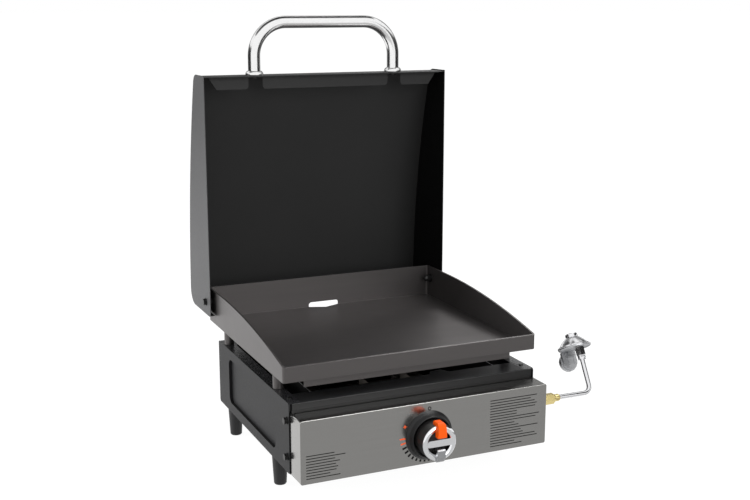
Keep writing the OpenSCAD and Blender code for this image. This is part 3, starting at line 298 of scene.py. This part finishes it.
def paint_lit_tops(piece, material, lowest=0.0):
    """Paints light on the faces that look up and lie higher than lowest, with a third material."""
    piece.data.materials.append(material)
    for face in piece.data.polygons:
        if face.normal.z > looks_up and face.center.z > lowest:
            face.material_index = 2


under_flanges = 0.15
side_coat = powder_coat("powder coat on the base, dark grey", "#262627", "#2a2a2b",
                        roughness=0.45, gloss=0.09)
# Inside the base and under its folds the coat is painted near black, as shade.
unlit_coat = powder_coat("painted shade inside the base, near black", "#141414", "#181818",
                         roughness=0.6, gloss=0.2)
# On the top flanges a lighter, glossier copy of the coat paints light.
lit_flange_coat = powder_coat("powder coat on the top flanges, painted lighter as light", "#28282a", "#2d2d2f",
                          roughness=0.28, gloss=0.8)
for node, side in (("left_side_panel", -1), ("right_side_panel", 1)):
    panel = dressed(node, side_coat, "base", round_off=0.001, painted_light=unlit_coat,
                    gets_painted_light=lambda centre, normal: normal.x * side < -0.5
                    or (abs(normal.z) > 0.5 and centre.z < under_flanges))
    paint_lit_tops(panel, lit_flange_coat, under_flanges)


# ---------------------------------------------------------------- rails
# The front and rear rails are folded from the same steel and coated near black. They lie between
# the side panels' flanges and carry the panel at the front and the grease cup at the back.
rail_top_z = 0.155
rail_coat = powder_coat("powder coat on the rails, near black", "#111112", "#151516",
                        roughness=0.3, gloss=0.35)
# On the rail's top a lighter, glossier copy of the coat paints light.
lit_rail_top_coat = powder_coat("powder coat on the rail's top, painted lighter as light", "#1d1d1e", "#212122",
                            roughness=0.38, gloss=0.6)
# The rail's rear faces under its top take the near black copy, painted shade.
rail = dressed("front_rail", rail_coat, "base", round_off=0.0005, painted_light=unlit_coat,
               gets_painted_light=lambda centre, normal: normal.y > 0.5 and centre.z < rail_top_z)
paint_lit_tops(rail, lit_rail_top_coat)


def shaped(name, form, material):
    """An object with this bmesh's faces and this finish."""
    mesh = bpy.data.meshes.new(name)
    form.to_mesh(mesh)
    form.free()
    mesh.materials.append(material)
    piece = bpy.data.objects.new(name, mesh)
    scene.collection.objects.link(piece)
    return piece


# The front rail's face is doubled by a lip that ends 2 mm over the control panel, with a dark gap
# under it.
lip_reach, lip_proud, lip_sunk, lip_foot, lip_top = 0.2055, 0.0018, 0.0002, 0.1472, 0.1583
rail_front_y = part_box("front_rail")[0].y
lip_low = Vector((-lip_reach, rail_front_y - lip_proud, lip_foot))
lip_high = Vector((lip_reach, rail_front_y + lip_sunk, lip_top))
lip_form = bmesh.new()
bmesh.ops.create_cube(lip_form, size=1.0, matrix=Matrix.Translation((lip_low + lip_high) / 2)
                      @ Matrix.Diagonal(lip_high - lip_low).to_4x4())
bmesh.ops.bevel(lip_form, geom=lip_form.edges, offset=0.0007, segments=3, profile=0.5,
                affect="EDGES")
rail_lip = shaped("rail_lip", lip_form, rail_coat)
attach(rail_lip, "base")
dressed("rear_panel", rail_coat, "base", round_off=0.0005)
dressed("panel_brackets", rail_coat, "base", round_off=0.0003)
dressed("grease_bracket", rail_coat, "base", round_off=0.0003)


# ---------------------------------------------------------------- fasteners
# Flange bolts, acorn nuts and screws of steel, cold headed and rolled, black oxide on the outside
# of the object and zinc plated inside it. The valve's bonnet and stem are zinc plated too.
def plain_metal(name, dark, light, roughness, metallic=1.0, grain=160.0, uneven=0.05):
    # Turned, drawn or plated metal: cloudy patches from handling and from the bath, 6 mm across at
    # a grain of 160, that show more in the gloss than in the colour.
    material, tree, place = started(name)
    cloud = add(tree, "ShaderNodeTexNoise", {"Vector": place, "Scale": grain, "Detail": 3.0})
    tone = add(tree, "ShaderNodeMix",
               {mix_share: cloud, mix_a: linear(dark), mix_b: linear(light)}, data_type="RGBA")
    sheen = add(tree, "ShaderNodeMapRange",
                {"Value": cloud, "To Min": roughness - uneven, "To Max": roughness + uneven})
    surfaced(tree, {"Base Color": tone.outputs[mix_out], "Roughness": sheen, "Metallic": metallic})
    return material


# Black oxide is oiled, and looks nearly as dull as paint. Zinc plate is light grey and cloudy.
black_oxide = plain_metal("black oxide on steel", "#191919", "#242424",
                          roughness=0.38, metallic=0.4)
zinc_plate = plain_metal("zinc plate on steel", "#8f9092", "#a9aaac", roughness=0.4)
for node, body in (("side_bolts", "base"), ("rail_screws", "base"), ("hinge_bolts", "griddle"),
                   ("hinge_spacers", "griddle"), ("acorn_nuts", "griddle"),
                   ("handle_screws", "hood")):
    dressed(node, black_oxide, body, round_off=0.0003)
for node, body in (("foot_screws", "base"), ("valve_screws", "base"), ("bracket_screws", "base"),
                   ("valve_bonnet", "base"), ("valve_stem", "knob")):
    dressed(node, zinc_plate, body)


# ---------------------------------------------------------------- feet
# Four tapered feet of glass-filled nylon, each moulded in one piece, near black and matt. A screw
# through the side panel's bottom fold holds each of them.
def moulded(name, dark, light, roughness, gloss=0.35):
    # Moulded plastic: an even colour with the fine spark-eroded grain of the mould, drawn at 2.5 mm
    # so that it shows.
    grain_scale, grain_depth = 400.0, 0.0002
    material, tree, place = started(name)
    pores = add(tree, "ShaderNodeTexNoise", {"Vector": place, "Scale": grain_scale, "Detail": 3.0})
    tone = add(tree, "ShaderNodeMix",
               {mix_share: pores, mix_a: linear(dark), mix_b: linear(light)}, data_type="RGBA")
    bump = add(tree, "ShaderNodeBump", {"Strength": 0.15, "Distance": grain_depth, "Height": pores})
    surfaced(tree, {"Base Color": tone.outputs[mix_out], "Roughness": roughness,
                    "Specular IOR Level": gloss, "Normal": bump})
    return material


foot_nylon = moulded("moulded nylon, near black", "#1f1f20", "#252526", roughness=0.5)
for node in ("foot_front_left", "foot_front_right", "foot_rear_left", "foot_rear_right"):
    dressed(node, foot_nylon, "base")


# ---------------------------------------------------------------- burner
# A burner bent from stainless tube over a perforated tray with a matt heat-proof coat. The tray is
# painted near black as shade, with a painted highlight along its rim, and the tube's steel is
# tinted brown by the heat.
tray_rim_z = 0.1568
# The tray's coat is painted near black, as shade inside the base.
shaded_tray_coat = powder_coat("heat-proof coat on the tray, painted near black as shade", "#080808", "#0c0c0c",
                        roughness=0.75, gloss=0.08)
# Its rim takes a light grey material, a painted highlight.
tray_rim_highlight = plain_metal("painted highlight on the tray's rim", "#b8b8ba", "#c6c6c8",
                        roughness=0.5, metallic=0.3)
dressed("burner_tray", shaded_tray_coat, "base", round_off=0.0002, painted_light=tray_rim_highlight,
        gets_painted_light=lambda centre, normal: normal.z > looks_up and centre.z > tray_rim_z)
burner_steel = plain_metal("stainless tube, heat tinted", "#7d7770", "#97928c", roughness=0.36,
                           grain=40.0, uneven=0.08)
for node in ("burner", "burner_rests", "burner_bracket"):
    dressed(node, burner_steel, "base")


# ---------------------------------------------------------------- gas valve and pipes
# Turned and forged brass: the valve body, its plug, the orifice, the inlet pipe and the nuts. The
# igniter's electrode is glazed ceramic, and its lead wears a silicone sleeve.
# Turned brass is pale and bright, the glaze cream and shiny, and the silicone a dull red.
brass = plain_metal("turned brass", "#cfbd80", "#d8c78c", roughness=0.22, uneven=0.01)
for node, body in (("valve_body", "base"), ("gas_orifice", "base"), ("inlet_pipe", "base"),
                   ("inlet_locknut", "base"), ("valve_plug", "valve")):
    dressed(node, brass, body)
for node in ("swivel_nut", "tube_ferrule"):
    dressed(node, brass, "gas_arm", round_off=0.0004)
glaze = moulded("glazed ceramic", "#e2ded4", "#efece4", roughness=0.25)
dressed("igniter_electrode", glaze, "base")
silicone = moulded("silicone sleeve, red", "#a5301f", "#bb3b28", roughness=0.5)
dressed("igniter_lead", silicone, "base", angle=80)


# ---------------------------------------------------------------- control panel
# A shallow box of 1.2 mm stainless steel, folded on four sides, with a brushed grain from left to
# right. Its face is mid grey, and its folds catch the light as thin bright lines.
def brushed(name, dark, light, roughness):
    # Brushed stainless steel: scratches 1 mm apart and up to 150 mm long, all one way, fine enough
    # that the face mirrors what is close to it as a soft blur.
    along, across = 6.0, 900.0
    material, tree, place = started(name)
    stretch = add(tree, "ShaderNodeMapping", {"Vector": place, "Scale": (along, across, across)})
    lines = add(tree, "ShaderNodeTexNoise", {"Vector": stretch, "Scale": 1.0, "Detail": 2.0})
    tone = add(tree, "ShaderNodeMix",
               {mix_share: lines, mix_a: linear(dark), mix_b: linear(light)}, data_type="RGBA")
    sheen = add(tree, "ShaderNodeMapRange",
                {"Value": lines, "To Min": roughness - 0.03, "To Max": roughness + 0.05})
    bump = add(tree, "ShaderNodeBump", {"Strength": 0.03, "Distance": 0.0001, "Height": lines})
    surfaced(tree, {"Base Color": tone.outputs[mix_out], "Roughness": sheen, "Metallic": 1.0,
                    "Normal": bump})
    return material


panel_low, panel_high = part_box("control_panel")
bezel_low, bezel_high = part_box("knob_bezel")
dial_z = (bezel_low.z + bezel_high.z) / 2
width_axis, height_axis = 0, 2


def border_cut(work):
    """Cuts a border round the panel's face, which keeps the rounding of its folds off the rest.

    Lines that cross the border are taken out, because the rounding would slide along them."""
    border, touching, cut_play, flat_angle = 0.006, 0.00001, 0.000001, 0.001
    cuts = [(axis, spot) for axis in (width_axis, height_axis)
            for spot in (panel_low[axis] + border, panel_high[axis] - border)]
    for axis, spot in cuts:
        across = Vector([float(i == axis) for i in range(3)])
        bmesh.ops.bisect_plane(work, geom=work.verts[:] + work.edges[:] + work.faces[:],
                               dist=cut_play, plane_co=across * spot, plane_no=across)
    work.normal_update()
    crossing = []
    for line in work.edges:
        start, end = (v.co for v in line.verts)
        centre = (start + end) / 2
        in_border = any(centre[i] < panel_low[i] + border or centre[i] > panel_high[i] - border
                        for i in (width_axis, height_axis))
        on_cut = any(abs(start[i] - spot) < touching and abs(end[i] - spot) < touching
                     for i, spot in cuts)
        flat = len(line.link_faces) == 2 and line.calc_face_angle() < flat_angle
        if in_border and not on_cut and flat:
            crossing.append(line)
    bmesh.ops.dissolve_edges(work, edges=crossing, use_verts=False)


def front_folds(mesh):
    """The sharp edges of the panel's face, without those of the knob's hole."""
    hole_reach, sharp, face_play = 0.03, 0.5, 0.0002
    facing = {}
    for face in mesh.polygons:
        for key in face.edge_keys:
            facing.setdefault(key, []).append(face.normal)
    folds = []
    for line in mesh.edges:
        sides = facing.get(tuple(sorted(line.vertices)), [])
        start, end = (mesh.vertices[i].co for i in line.vertices)
        middle = (start + end) / 2
        in_front = middle.y < panel_low.y + face_play
        off_hole = math.hypot(middle.x, middle.z - dial_z) > hole_reach
        if len(sides) == 2 and sides[0].angle(sides[1]) > sharp and in_front and off_hole:
            folds.append(line.index)
    return folds


panel_steel = brushed("brushed stainless steel", "#9d9c99", "#a3a2a0", roughness=0.17)
dressed("control_panel", panel_steel, "base", round_off=0.0018, cut=border_cut, chosen=front_folds)


# ---------------------------------------------------------------- dial
# Screen-printed ink on the panel: a ring over the knob for off, a spark mark, and ten ticks from
# the left to the bottom that shorten towards low, the first two orange. The ink is 0.1 mm thick.
ink_thick = 0.0001
ink_y = panel_low.y - ink_thick / 2
ink_black = moulded("screen ink, black", "#151515", "#1b1b1b", roughness=0.6, gloss=0.1)
ink_orange = moulded("screen ink, orange", "#fb5a1a", "#ff6424", roughness=0.6)


def tree_with(name, sockets):
    """A Geometry Nodes tree with named inputs, those inputs, and a function that ends it."""
    tree = bpy.data.node_groups.new(name, "GeometryNodeTree")
    tree.interface.new_socket(name="Geometry", in_out="OUTPUT",
                              socket_type="NodeSocketGeometry")
    for label, kind in sockets.items():
        tree.interface.new_socket(name=label, in_out="INPUT", socket_type="NodeSocket" + kind)
    given = add(tree, "NodeGroupInput").outputs

    def end(geometry):
        real = add(tree, "GeometryNodeRealizeInstances", {0: geometry})
        coated = add(tree, "GeometryNodeSetMaterial",
                     {"Geometry": real, "Material": given["Finish"]})
        add(tree, "NodeGroupOutput", {0: coated})

    return tree, given, end


def grown(name, tree, values, mesh=None):
    """Runs a Geometry Nodes tree on a new object with these inputs, and leaves a plain mesh."""
    piece = bpy.data.objects.new(name, mesh or bpy.data.meshes.new(name))
    scene.collection.objects.link(piece)
    grower = piece.modifiers.new(name, "NODES")
    grower.node_group = tree
    for item in tree.interface.items_tree:
        if item.in_out == "INPUT" and item.name in values:
            grower[item.identifier] = values[item.name]
    seen = piece.evaluated_get(bpy.context.evaluated_depsgraph_get())
    made = bpy.data.meshes.new_from_object(seen)
    piece.modifiers.clear()
    piece.data = made
    return piece


tree, given, end = tree_with("dial ticks", {
    "Count": "Int", "First": "Int", "Step": "Float", "Inner radius": "Float", "Longest": "Float",
    "Shrink": "Float", "Width": "Float", "Thickness": "Float", "Centre": "Vector",
    "Finish": "Material"})
number = add(tree, "ShaderNodeMath",
             {0: add(tree, "GeometryNodeInputIndex"), 1: given["First"]}, operation="ADD")
steps = add(tree, "ShaderNodeMath", {0: number, 1: given["Step"]}, operation="MULTIPLY")
turn = add(tree, "ShaderNodeMath", {0: steps, 1: math.pi}, operation="ADD")
back_turn = add(tree, "ShaderNodeMath", {0: turn, 1: -1.0}, operation="MULTIPLY")
less = add(tree, "ShaderNodeMath", {0: number, 1: given["Shrink"]}, operation="MULTIPLY")
length = add(tree, "ShaderNodeMath", {0: given["Longest"], 1: less}, operation="SUBTRACT")
reach = add(tree, "ShaderNodeMath", {0: length, 1: 0.5, 2: given["Inner radius"]},
            operation="MULTIPLY_ADD")
arm = add(tree, "ShaderNodeCombineXYZ", {"X": reach})
place = add(tree, "ShaderNodeVectorRotate", {"Vector": arm, "Angle": back_turn},
            rotation_type="Y_AXIS")
shifted = add(tree, "ShaderNodeVectorMath", {0: place, 1: given["Centre"]}, operation="ADD")
line = add(tree, "GeometryNodeMeshLine", {"Count": given["Count"], "Offset": (0, 0, 0)})
spread = add(tree, "GeometryNodeSetPosition", {"Geometry": line, "Position": shifted})
spin = add(tree, "ShaderNodeCombineXYZ", {"Y": back_turn})
stretch = add(tree, "ShaderNodeCombineXYZ",
              {"X": length, "Y": given["Thickness"], "Z": given["Width"]})
block = add(tree, "GeometryNodeMeshCube", {"Size": (1, 1, 1)})
end(add(tree, "GeometryNodeInstanceOnPoints",
        {"Points": spread, "Instance": block, "Rotation": spin, "Scale": stretch}))
for name, first, count, wide, ink, slot in (
        ("dial_ticks_orange", 0, 2, 0.0023, ink_orange, "pointer_plastic"),
        ("dial_ticks_black", 2, 8, 0.0032, ink_black, "bezel_plastic")):
    ticks = grown(name, tree, {
        "Count": count, "First": first, "Step": math.radians(10), "Inner radius": 0.0398,
        "Longest": 0.0092, "Shrink": 0.0008, "Width": wide, "Thickness": ink_thick,
        "Centre": (0, ink_y, dial_z), "Finish": ink})
    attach(ticks, "base")

tree, given, end = tree_with("printed ring", {
    "Radius": "Float", "Line": "Float", "Thickness": "Float", "Centre": "Vector",
    "Finish": "Material"})
circle = add(tree, "GeometryNodeCurvePrimitiveCircle",
             {"Resolution": 40, "Radius": given["Radius"]})
section = add(tree, "GeometryNodeCurvePrimitiveQuadrilateral",
              {"Width": given["Line"], "Height": given["Thickness"]})
solid = add(tree, "GeometryNodeCurveToMesh", {"Curve": circle, "Profile Curve": section})
end(add(tree, "GeometryNodeTransform", {"Geometry": solid, "Translation": given["Centre"],
                                        "Rotation": (math.radians(90), 0, 0)}))
off_x, off_rise = 0.0007, 0.0426
off_mark = grown("dial_off_mark", tree, {
    "Radius": 0.0023, "Line": 0.0013, "Thickness": ink_thick,
    "Centre": (off_x, ink_y, dial_z + off_rise), "Finish": ink_black})
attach(off_mark, "base")

spark_x, spark_rise, long_ray, short_ray = -0.0405, 0.0189, 0.0033, 0.0015
spark = bmesh.new()
tips = []
for i in range(8):
    turn = math.radians(45 * i)
    ray = long_ray if i % 2 == 0 else short_ray
    tips.append(Vector((spark_x, 0, dial_z + spark_rise))
                + Vector((math.sin(turn), 0, math.cos(turn))) * ray)
front = [spark.verts.new((p.x, panel_low.y - ink_thick, p.z)) for p in tips]
back = [spark.verts.new((p.x, panel_low.y, p.z)) for p in tips]
spark.faces.new(front)
spark.faces.new(back[::-1])
for i in range(8):
    spark.faces.new((front[i - 1], back[i - 1], back[i], front[i]))
bmesh.ops.recalc_face_normals(spark, faces=spark.faces)
spark_mark = shaped("dial_spark_mark", spark, ink_orange)
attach(spark_mark, "base")


# ---------------------------------------------------------------- ruled bars
# Three blocks of plain bars in the same black ink, two at the right of the dial and one at the
# lower left. Nothing is written: each bar is a thin straight line, and their lengths differ.
tree, given, end = tree_with("ruled bars", {
    "Rows": "Int", "Pitch": "Float", "Shortest": "Float", "Longest": "Float", "Height": "Float",
    "Thickness": "Float", "Corner": "Vector", "Seed": "Int", "Finish": "Material"})
down = add(tree, "ShaderNodeMath", {0: given["Pitch"], 1: -1.0}, operation="MULTIPLY")
drop = add(tree, "ShaderNodeCombineXYZ", {"Z": down})
line = add(tree, "GeometryNodeMeshLine",
           {"Count": given["Rows"], "Start Location": given["Corner"], "Offset": drop})
length = add(tree, "FunctionNodeRandomValue",
             {2: given["Shortest"], 3: given["Longest"], "Seed": given["Seed"]},
             data_type="FLOAT").outputs[1]
half_length = add(tree, "ShaderNodeMath", {0: length, 1: 0.5}, operation="MULTIPLY")
half = add(tree, "ShaderNodeCombineXYZ", {"X": half_length})
aligned = add(tree, "GeometryNodeSetPosition", {"Geometry": line, "Offset": half})
stretch = add(tree, "ShaderNodeCombineXYZ",
              {"X": length, "Y": given["Thickness"], "Z": given["Height"]})
block = add(tree, "GeometryNodeMeshCube", {"Size": (1, 1, 1)})
end(add(tree, "GeometryNodeInstanceOnPoints",
        {"Points": aligned, "Instance": block, "Scale": stretch}))
for name, x, z, shortest, longest, seed in (
        ("ruled_bars_upper", 0.1065, 0.131, 0.034, 0.09, 3),
        ("ruled_bars_lower", 0.1075, 0.0908, 0.03, 0.086, 8),
        ("ruled_bars_left", -0.1998, 0.0903, 0.026, 0.062, 5)):
    bars = grown(name, tree, {
        "Rows": 9, "Pitch": 0.0044, "Shortest": shortest, "Longest": longest, "Height": 0.0013,
        "Thickness": ink_thick, "Corner": (x, ink_y, z), "Seed": seed, "Finish": ink_black})
    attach(bars, "base")


# ---------------------------------------------------------------- knob
# A black moulded knob in a stepped bezel, with a chromed ring and crossbar, an orange pointer over
# its rim, and a block of satin plated zinc opposite. The nylon shines softly, the chrome mirrors,
# and the pointer is as matt as the ink.
bezel_nylon = moulded("moulded nylon bezel", "#151516", "#1b1b1c", roughness=0.34)
knob_nylon = moulded("moulded nylon knob", "#1a1818", "#211f1f", roughness=0.36)
dressed("knob_bezel", bezel_nylon, "base", round_off=0.0003)
dressed("knob_body", knob_nylon, "knob", round_off=0.0005)
chrome = plain_metal("chrome plate, satin", "#eff0f2", "#f5f6f8",
                     roughness=0.14, grain=60.0, uneven=0.02)
dressed("knob_ring", chrome, "knob")
pointer_plastic = moulded("moulded pointer, orange", "#fc5800", "#ff6006",
                          roughness=0.45, gloss=0.12)
dressed("knob_pointer", pointer_plastic, "knob", round_off=0.0009)
satin_zinc = plain_metal("satin plated zinc", "#a6a7a9", "#aeafb1", roughness=0.3, uneven=0.02)
dressed("knob_block", satin_zinc, "knob", round_off=0.0008)


# ---------------------------------------------------------------- gas arm
# A bent tube with plated fittings leads to the regulator: a pressed and plated dome, crimped on a
# die-cast housing, whose fluted collar takes the gas cylinder.
# The tube is bright enough to mirror, the dome a little duller, and the casting matt.
plated = plain_metal("bright plated steel", "#e6e6e8", "#ededef",
                     roughness=0.09, grain=80.0, uneven=0.01)
satin_plated = plain_metal("satin plated steel", "#f0f0f2", "#f6f6f8", roughness=0.22,
                           grain=80.0, uneven=0.01)
cast = plain_metal("die-cast zinc, plated", "#b4b5b7", "#bbbcbe",
                   roughness=0.42, grain=90.0, uneven=0.01)
for node, finish, angle in (
        ("gas_tube", plated, 50.0), ("outlet_nut", plated, 28.0),
        ("regulator_dome", satin_plated, 28.0), ("regulator_cap", satin_plated, 28.0)):
    bright_metal.objects.link(dressed(node, finish, "gas_arm", angle=angle))
dressed("regulator_housing", cast, "gas_arm", round_off=0.0004)
dressed("cylinder_collar", cast, "gas_arm")


# ---------------------------------------------------------------- cooking plate
# Rolled steel, 3 mm thick, welded at its corners and oiled. The mill left it a warm dark grey with
# long faint streaks from left to right, and it shines softly where it is flat.
def rolled_steel(name, dark, light, roughness):
    # Hot-rolled steel under a film of oil: long mill streaks about 10 mm wide, and patches in the
    # gloss, 70 mm across, where the film is thicker.
    along, across, patch_scale, gloss_play = 4.0, 90.0, 14.0, 0.05
    material, tree, place = started(name)
    stretch = add(tree, "ShaderNodeMapping", {"Vector": place, "Scale": (along, across, across)})
    streak = add(tree, "ShaderNodeTexNoise", {"Vector": stretch, "Scale": 1.0, "Detail": 5.0})
    tone = add(tree, "ShaderNodeMix",
               {mix_share: streak, mix_a: linear(dark), mix_b: linear(light)}, data_type="RGBA")
    patch = add(tree, "ShaderNodeTexNoise", {"Vector": place, "Scale": patch_scale, "Detail": 6.0})
    sheen = add(tree, "ShaderNodeMapRange", {"Value": patch, "To Min": roughness - gloss_play,
                                             "To Max": roughness + gloss_play})
    surfaced(tree, {"Base Color": tone.outputs[mix_out], "Roughness": sheen, "Metallic": 0.7})
    return material


plate_steel = rolled_steel("rolled steel, oiled", "#545151", "#5b5857", roughness=0.36)
dressed("griddle_plate", plate_steel, "griddle", round_off=0.0006)
for node in ("plate_standoffs", "front_stiffener", "rear_stiffener", "grease_spout"):
    dressed(node, plate_steel, "griddle", round_off=0.0004)


# ---------------------------------------------------------------- grease cup
# A cup pressed from galvanised steel, light grey with zinc's large cloudy flowers. It hangs by its
# rims under the spout and slides out to the back.
galvanised = plain_metal("galvanised sheet", "#8e9093", "#a6a8aa", roughness=0.42, grain=30.0)
dressed("grease_cup", galvanised, "cup", round_off=0.0004)


# ---------------------------------------------------------------- hood
# Bent and welded from 1.2 mm mild steel and powder coated dark grey. Its sides carry a lighter copy
# of the coat outside, painted light, and a near black copy inside, painted shade where little light
# reaches them.
hood_coat = powder_coat("powder coat on the hood, dark grey", "#242424", "#292929",
                        roughness=0.5, gloss=0.22)
# Inside the hood's ends the coat is painted near black, as shade.
hood_painted_shade = powder_coat("painted shade inside the hood's ends, near black",
                              "#0b0b0b", "#0e0e0e", roughness=0.5, gloss=0.12)
# The hood's sides take a lighter copy of the coat, which paints light on them.
hood_lit_side_coat = powder_coat("powder coat on the hood's sides, painted lighter as light", "#484849", "#4f4f50",
                             roughness=0.5, gloss=0.28)
dressed("hood_shell", hood_coat, "hood", round_off=0.0005)
for node, side in (("hood_left_side", -1), ("hood_right_side", 1)):
    dressed(node, hood_lit_side_coat, "hood", round_off=0.0004, painted_light=hood_painted_shade,
            gets_painted_light=lambda centre, normal: normal.x * side < -0.5)
dressed("hood_lip", hood_coat, "hood", round_off=0.0004)


# ---------------------------------------------------------------- handle
# A bent stainless tube, polished to a soft mirror, on two turned collars. Two screws from inside
# the hood hold it.
handle_steel = plain_metal("stainless tube, polished", "#f1f1f1", "#f6f6f6", roughness=0.2,
                           grain=50.0, uneven=0.01)
tube_low, tube_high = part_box("handle_tube")
tube_r = (tube_high.y - tube_low.y) / 2
tree, given, end = tree_with("bent tube", {
    "Path": "Geometry", "Bend radius": "Float", "Tube radius": "Float", "Finish": "Material"})
path = add(tree, "GeometryNodeMeshToCurve", {"Mesh": given["Path"]})
bent = add(tree, "GeometryNodeFilletCurve",
           {"Curve": path, "Radius": given["Bend radius"], "Count": 28}, mode="POLY")
ring = add(tree, "GeometryNodeCurvePrimitiveCircle",
           {"Resolution": 64, "Radius": given["Tube radius"]})
end(add(tree, "GeometryNodeCurveToMesh",
        {"Curve": bent, "Profile Curve": ring, "Fill Caps": True}))
path_mesh = bpy.data.meshes.new("handle_path")
y, top, foot = (tube_low.y + tube_high.y) / 2, tube_high.z - tube_r, tube_low.z
left, right = tube_low.x + tube_r, tube_high.x - tube_r
path_mesh.from_pydata([(left, y, foot), (left, y, top), (right, y, top), (right, y, foot)],
                      [(0, 1), (1, 2), (2, 3)], [])
handle = grown("handle_tube_finished", tree,
               {"Bend radius": 0.0575, "Tube radius": tube_r, "Finish": handle_steel}, path_mesh)
for face in handle.data.polygons:
    face.use_smooth = True
handle.data.set_sharp_from_angle(angle=math.radians(50))
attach(handle, "hood")
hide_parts("handle_tube")
bright_metal.objects.link(handle)
bright_metal.objects.link(dressed("handle_collars", handle_steel, "hood"))
for member in bright_metal.collection_objects:
    member.light_linking.link_state = "EXCLUDE"


size = {"cad": [list(c) for c in cad_bounds], "scene": [list(c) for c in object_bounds()]}
